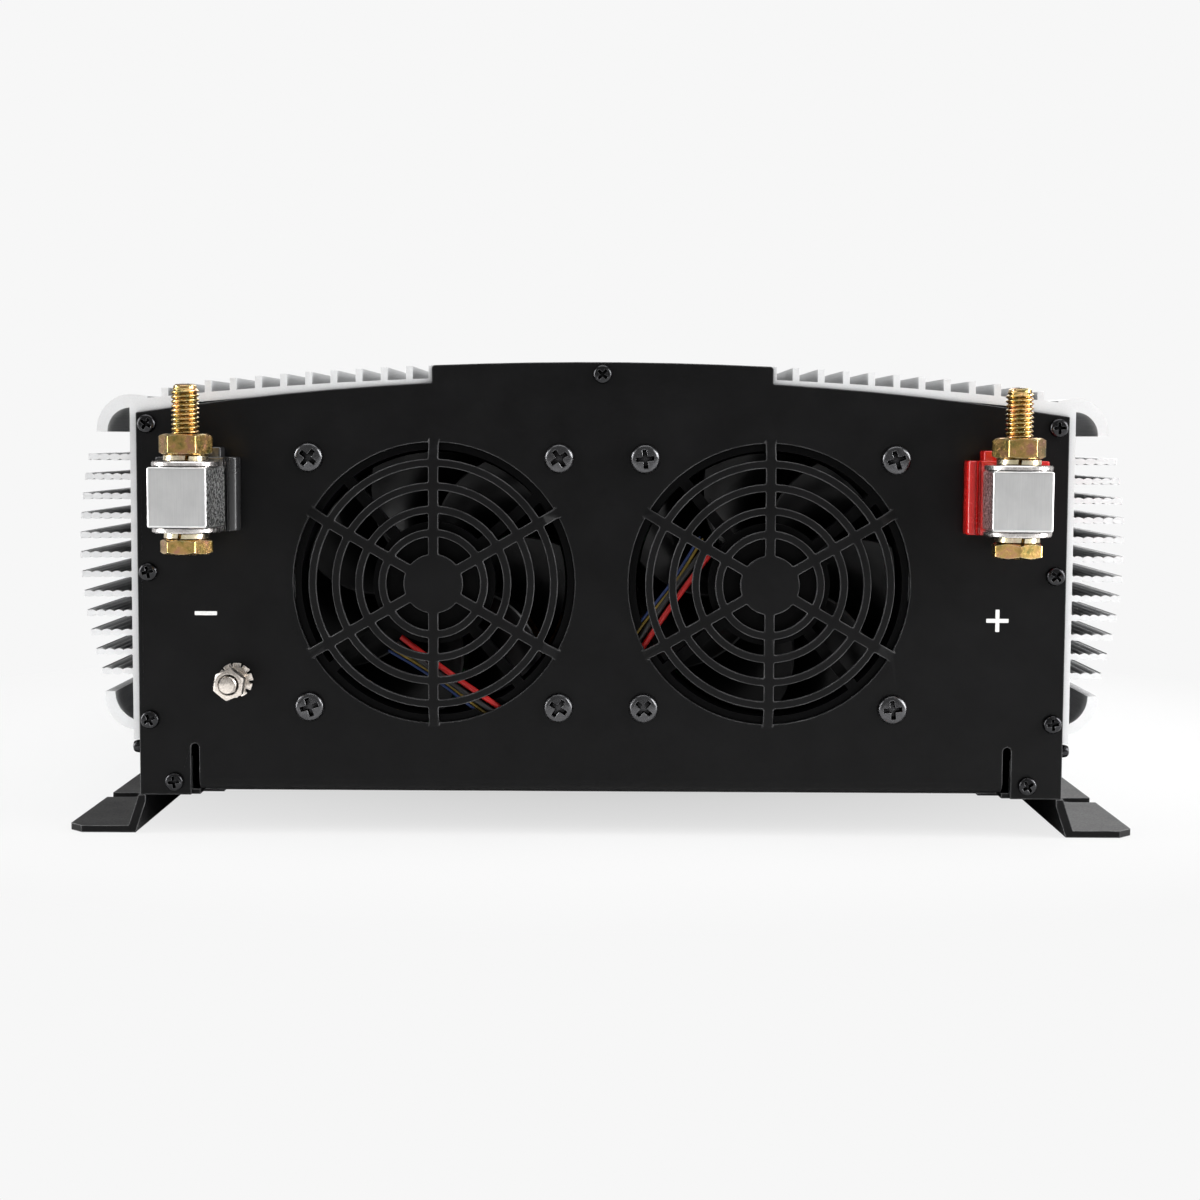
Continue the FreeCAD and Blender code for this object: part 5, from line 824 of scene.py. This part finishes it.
DC_FACE = box_mm("ground_lock_washers")[1].y
MARK_X, MINUS_Z, PLUS_Z = 113.5, 63.7, 62.7
MARK_WIDE, MARK_THICK = 6.4, 1.15
minus = [printed_bar(-MARK_X, MINUS_Z, MARK_WIDE, MARK_THICK)]
plus = [printed_bar(MARK_X, PLUS_Z, MARK_WIDE, MARK_THICK)]
for side in (-1, 1):
    arm_z = PLUS_Z + side * (MARK_WIDE + MARK_THICK) / 4
    plus.append(printed_bar(MARK_X, arm_z, MARK_THICK, (MARK_WIDE - MARK_THICK) / 2))
piece("polarity_mark_negative", minus, INK, "case")
piece("polarity_mark_positive", plus, INK, "case")


# ---------------------------------------------------------------- fans

BLADES = 7
HUB_RADIUS, HUB_WALL, TIP_RADIUS = 16.4, 1.4, 37.4
BLADE_SWEEP, BLADE_SPAN = math.radians(22), math.radians(50)
BLADE_BOW = 1.5


def blade_part(start_angle, front, rear, root, tip):
    """One cambered blade: sections on ever larger cylinders, swept back and pitched."""
    rings = []
    rows = 9
    steps = 10
    for i in range(rows + 1):
        share = i / rows
        radius = root + (tip - root) * share
        lead = start_angle + BLADE_SWEEP * share ** 1.2
        thick = 1.5 - 0.5 * share
        shrink = 0.6 * share ** 3
        upper, lower = [], []
        for j in range(steps + 1):
            t = j / steps
            swell = thick / 2 * math.sin(math.pi * min(1.0, 0.12 + 0.88 * t)) ** 0.5
            bow = BLADE_BOW * math.sin(math.pi * t)
            for side, line in ((1, upper), (-1, lower)):
                y = front + shrink + (rear - front - 2 * shrink) * t - bow * 0.6 + side * swell * 0.45
                a = lead + BLADE_SPAN * t + (bow * 0.5 - side * swell * 0.75) / radius
                line.append(Vector((radius * math.sin(a), y, radius * math.cos(a))))
        rings.append(upper + lower[::-1])
    points, faces = skin(rings)
    faces = faces[:-2]
    last = len(rings[0]) - 1
    for first in (0, rows * (last + 1)):
        faces += [(first + i, first + i + 1, first + last - 1 - i, first + last - i) for i in range(steps)]
    return points, faces


def fan_rotor(side):
    """A fan's rotor: a dished cup and seven swept blades that turn about the fan's middle."""
    name = f"fan_rotor_{side}"
    low, high = box_mm(name)
    frame_low, frame_high = box_mm(f"fan_frame_{side}")
    centre = (frame_low + frame_high) / 2
    front, rear = frame_low.y + 4.2, high.y
    hub, wall = HUB_RADIUS, HUB_WALL
    profile = [(0.02, rear), (hub - 1.6, rear), (hub - 0.5, rear - 0.4), (hub, rear - 1.4),
               (hub, front + 0.8), (hub - 0.5, front + 0.1), (hub - wall, front), (hub - wall, rear - 2.2),
               (0.02, rear - 2.2)]
    cup = turned(profile, 72)
    shaft = turned([(0.02, low.y), (1.2, low.y), (1.5, low.y + 0.3), (1.5, rear - 2), (0.02, rear - 2)], 24)
    upright = Matrix(((1, 0, 0, 0), (0, 0, 1, 0), (0, -1, 0, 0), (0, 0, 0, 1)))
    place = Matrix.Translation((centre.x, 0, centre.z))
    parts = [moved(cup, place @ upright), moved(shaft, place @ upright)]
    for i in range(BLADES):
        blade = blade_part(i * math.tau / BLADES, front + 1.2, rear - 1.1, hub - 0.4, TIP_RADIUS)
        parts.append(moved(blade, place))
    piece(f"{name}_bladed", parts, ROTOR, name, (name,))


fan_rotor("left")
fan_rotor("right")


def cable(points, radius):
    """A wire through the points, with round ends."""
    steps = 10
    rings = []
    for i, point in enumerate(points):
        ahead = (points[min(i + 1, len(points) - 1)] - points[max(i - 1, 0)]).normalized()
        sidewise = ahead.cross(Vector((0, 1, 0))).normalized()
        up = sidewise.cross(ahead)
        end = 0.55 if i in (0, len(points) - 1) else 1.0
        rings.append([point + (sidewise * math.cos(a) + up * math.sin(a)) * radius * end
                      for a in angles(steps)])
    return skin(rings)


def curve_points(*controls):
    """Points of a smooth curve through the controls."""
    steps = 24
    points = []
    last = len(controls) - 1
    for i in range(steps + 1):
        whole = i / steps * last
        k = min(int(whole), last - 1)
        t = whole - k
        a, b, c, d = (controls[max(k - 1, 0)], controls[k], controls[k + 1], controls[min(k + 2, last)])
        points.append(0.5 * ((2 * b) + (c - a) * t + (2 * a - 5 * b + 4 * c - d) * t * t
                             + (3 * b - a - 3 * c + d) * t ** 3))
    return points


# Thin speed and control wires beside each pair of power leads.
WIRE_RADIUS = 0.42
for name, colour, beside in (("yellow_lead", (0.20, 0.13, 0.01), 1.72),
                             ("blue_lead", (0.01, 0.03, 0.12), 2.18)):
    wires = []
    for (red_low, red_high), (black_low, _) in zip(islands("fan_leads_red"), islands("fan_leads_black")):
        step = (black_low - red_low) * beside
        falling = red_low.x < 0
        start = Vector((red_low.x, 0, red_high.z)) if falling else red_high.copy()
        end = Vector((red_high.x, 0, red_low.z)) if falling else red_low.copy()
        start.y = end.y = red_high.y - WIRE_RADIUS
        bow = step.normalized() * 0.9
        path = curve_points(start + bow, start.lerp(end, 0.35) - bow * 0.3,
                            start.lerp(end, 0.7) + bow * 0.2, end)
        wires.append(cable([p + step for p in path], WIRE_RADIUS))
    piece(f"fan_{name}s", wires, moulded(name, colour, 0.35), "case")


# ---------------------------------------------------------------- housing

def end_outline(node, y_side):
    """The longest closed outline of a node's end face, as (x, z) points in millimetres."""
    bm = bmesh.new()
    bm.from_mesh(frame["nodes"][node].data)
    bmesh.ops.remove_doubles(bm, verts=bm.verts, dist=1e-6)
    bmesh.ops.recalc_face_normals(bm, faces=bm.faces)
    end = y_side * max(y_side * v.co.y for v in bm.verts)
    following = {}
    for edge in bm.edges:
        if any(abs(v.co.y - end) > 1e-6 for v in edge.verts):
            continue
        caps = [f for f in edge.link_faces if abs(f.normal.y) > 0.99]
        if len(caps) == 1 and len(edge.link_faces) == 2:
            a, b = edge.verts
            following.setdefault(a, []).append(b)
            following.setdefault(b, []).append(a)
    best = []
    left = dict.fromkeys(following)
    while left:
        start = next(iter(left))
        del left[start]
        loop, previous, current = [start], None, start
        while True:
            options = [v for v in following[current] if v is not previous]
            previous, current = current, options[0]
            if current is start:
                break
            left.pop(current, None)
            loop.append(current)
        if len(loop) > len(best):
            best = loop
    points = [Vector((v.co.x, v.co.z)) / MM for v in best]
    bm.free()
    return points


HOUSING_WALL = 135.0
RIB_PITCH, RIB_DEEP = 2.7, 0.45


def ribbed(points):
    """Scallop the long flanks of the side fins, which stand out beyond the housing's wall."""
    out = []
    area = sum(a.x * b.y - b.x * a.y for a, b in zip(points, points[1:] + points[:1]))
    turn = 1 if area > 0 else -1
    for a, b in zip(points, points[1:] + points[:1]):
        out.append(a)
        run = b - a
        on_fin = min(abs(a.x), abs(b.x)) > HOUSING_WALL - 0.5
        if not on_fin or abs(run.x) < 5 or abs(run.y) > 0.5 * abs(run.x):
            continue
        outward = Vector((run.y, -run.x)).normalized() * turn
        count = max(2, round(run.length / RIB_PITCH))
        steps = 6
        for i in range(1, count * steps):
            share = i / (count * steps)
            dip = 1 - math.sin(math.pi * (share * count % 1.0))
            out.append(a + run * share - outward * RIB_DEEP * dip)
    return out


housing_low, housing_high = box_mm("upper_housing")
profile = ribbed(end_outline("upper_housing", -1))
triangles = tessellate_polygon([[Vector((p.x, p.y, 0)) for p in profile]])
ends = (housing_low.y, housing_high.y)
points = [(p.x, y, p.y) for y in ends for p in profile]
count = len(profile)
faces = [tuple(t) for t in triangles] + [tuple(count + i for i in reversed(t)) for t in triangles]
faces += [(i, (i + 1) % count, count + (i + 1) % count, count + i) for i in range(count)]
piece("ribbed_housing", [(points, faces)], SILVER, "case", ("upper_housing",))


# ---------------------------------------------------------------- terminal insulators

SLAB_TALL = 20.9
GROOVES = (2.3, 3.4)
TAB_INSET, TAB_SHORTER, TAB_HALF_DEEP, TAB_TALL = 4.5, 10.5, 3.3, 4.0


def insulator_plan(side, inner, outer, front, back):
    """Plan of an insulator's slab, with a rounded inner corner and two grooves in its front."""
    corner = 1.6
    plan = [(inner + 0.6, back), (inner, back - 1.2), (inner, front + 2.2)]
    for i in range(1, 5):
        a = math.pi / 2 * i / 4
        plan.append((inner + corner * (1 - math.cos(a)), front + 2.2 - corner * math.sin(a)))
    for groove in GROOVES:
        middle = inner + groove
        plan += [(middle - 0.3, front + 0.6), (middle - 0.2, front + 1.2), (middle + 0.2, front + 1.2),
                 (middle + 0.3, front)]
    plan += [(outer - 1, front), (outer - 0.3, front + 0.3), (outer, front + 1), (outer, back - 0.5),
             (outer - 0.5, back)]
    return [(side * x, y) for x, y in plan]


def shrinking(plan):
    """A plan outline as a function of an inset towards its middle."""
    cx = sum(p[0] for p in plan) / len(plan)
    cy = sum(p[1] for p in plan) / len(plan)

    def at(inset):
        return [(x + (cx - x) / abs(cx - x) * inset if abs(cx - x) > 2 else x,
                 y + (cy - y) / abs(cy - y) * inset if abs(cy - y) > 1 else y) for x, y in plan]
    return at


for side, name, slot in ((-1, "negative", "black_insulator"), (1, "positive", "red_insulator")):
    node = f"terminal_insulator_{name}"
    low, high = box_mm(node)
    front, back = low.y, DC_FACE
    inner, outer = sorted((abs(low.x), abs(high.x)))
    plan = insulator_plan(side, inner, outer, front, back)
    slab = skin(outline_prism(shrinking(plan), low.z, low.z + SLAB_TALL, 0.5, 3))
    tab_half = (outer - inner - TAB_SHORTER) / 2
    tab_plan = rounded_outline(tab_half, TAB_HALF_DEEP, 0.6, 3)
    tab = skin(outline_prism(tab_plan, high.z - TAB_TALL, high.z, 0.5, 3))
    tab_x = side * (inner + TAB_INSET + tab_half)
    tab = moved(tab, Matrix.Translation((tab_x, (front + back) / 2 + 0.4, 0)))
    piece(f"{node}_moulding", [slab, tab], FINISHES[slot], "case", (node,))


# ---------------------------------------------------------------- stage, light, camera

def floor_material():
    """A pale floor that fades into the backdrop's white away from the object."""
    s = Shader("pale_floor", IOR=1.4, Specular_IOR_Level=0.2)
    s.colour(s.ramp(s.noise(400, 3), (0.3, (0.80, 0.80, 0.80)), (0.7, (0.84, 0.84, 0.84))))
    s.rough(s.spread(s.noise(60, 2), 0.6, 0.75))
    s.bump(s.noise(8, 2), 0.02, 0.2)
    distance = s.nodes.new("ShaderNodeVectorMath")
    distance.operation = "LENGTH"
    s.link(s.millimetres, distance.inputs[0])
    glow = s.nodes.new("ShaderNodeEmission")
    glow.inputs["Color"].default_value = (1, 1, 1, 1)
    glow.inputs["Strength"].default_value = BACKDROP
    path = s.nodes.new("ShaderNodeLightPath")
    whiteness = s.spread(distance.outputs["Value"], 0.55, 1.0, 60, 330)
    fade = s.math("MULTIPLY", whiteness, path.outputs["Is Camera Ray"])
    mix = s.nodes.new("ShaderNodeMixShader")
    s.link(fade, mix.inputs["Fac"])
    s.link(s.surface.outputs["BSDF"], mix.inputs[1])
    s.link(glow.outputs["Emission"], mix.inputs[2])
    s.link(mix.outputs["Shader"], s.nodes["Material Output"].inputs["Surface"])
    return s.material


BACKDROP = 0.93
FLOOR_HALF, FLOOR_DROP = 6.0, 0.0002
floor_mesh = bpy.data.meshes.new("floor")
corners = ((-1, -1), (1, -1), (1, 1), (-1, 1))
floor_mesh.from_pydata([(x * FLOOR_HALF, y * FLOOR_HALF, 0) for x, y in corners], [], [(0, 1, 2, 3)])
floor_mesh.materials.append(floor_material())
floor = bpy.data.objects.new("floor", floor_mesh)
bpy.context.scene.collection.objects.link(floor)
floor.location.z = -FLOOR_DROP


def studio_world(seen, cast):
    """A white backdrop to the camera that lights the object more dimly."""
    world = bpy.data.worlds.new("studio")
    world.use_nodes = True
    nodes, links = world.node_tree.nodes, world.node_tree.links
    background = nodes["Background"]
    background.inputs["Color"].default_value = (1, 1, 1, 1)
    path = nodes.new("ShaderNodeLightPath")
    strength = nodes.new("ShaderNodeMapRange")
    strength.inputs["To Min"].default_value = cast
    strength.inputs["To Max"].default_value = seen
    links.new(path.outputs["Is Camera Ray"], strength.inputs["Value"])
    links.new(strength.outputs["Result"], background.inputs["Strength"])
    bpy.context.scene.world = world


def softbox(name, place, target, size, watts):
    light = bpy.data.lights.new(name, "AREA")
    light.shape = "RECTANGLE"
    light.size, light.size_y = size
    light.energy = watts
    obj = bpy.data.objects.new(name, light)
    bpy.context.scene.collection.objects.link(obj)
    obj.location = place
    obj.rotation_euler = (Vector(target) - Vector(place)).to_track_quat("-Z", "Y").to_euler()


studio_world(seen=BACKDROP, cast=0.36)
softbox("top_box", (0, -0.1, 1.5), (0, 0, 0.1), (1.6, 1.0), 12)
softbox("left_box", (-1.2, -0.8, 0.72), (0, -0.2, 0.07), (0.35, 0.8), 2.5)
softbox("right_box", (1.2, -0.85, 0.72), (0, -0.2, 0.07), (0.45, 0.8), 13)
softbox("left_strip", (-1.0, -0.3, 0.3), (0, -0.2, 0.07), (0.25, 0.7), 10)
softbox("right_strip", (1.0, -0.3, 0.3), (0, -0.2, 0.07), (0.25, 0.7), 11)
softbox("rear_box", (0.4, 1.4, 0.9), (0, 0.1, 0.07), (1.2, 0.8), 9)
bpy.context.scene.view_settings.view_transform = "Standard"

CAMERA_PLACE = (0.0017, -0.8006, 0.1149)
CAMERA_YAW, CAMERA_PITCH, CAMERA_ROLL = 0.0036, -0.0793, -0.005
camera_data = bpy.data.cameras.new("camera")
camera_data.sensor_width = 36
camera_data.lens = 61.86
camera = bpy.data.objects.new("camera", camera_data)
bpy.context.scene.collection.objects.link(camera)
camera.matrix_world = (Matrix.Translation(CAMERA_PLACE) @ Matrix.Rotation(CAMERA_YAW, 4, "Z")
                       @ Matrix.Rotation(CAMERA_PITCH, 4, "X") @ Matrix.Rotation(CAMERA_ROLL, 4, "Y")
                       @ Matrix.Rotation(math.pi / 2, 4, "X"))
bpy.context.scene.camera = camera

bpy.context.view_layer.update()
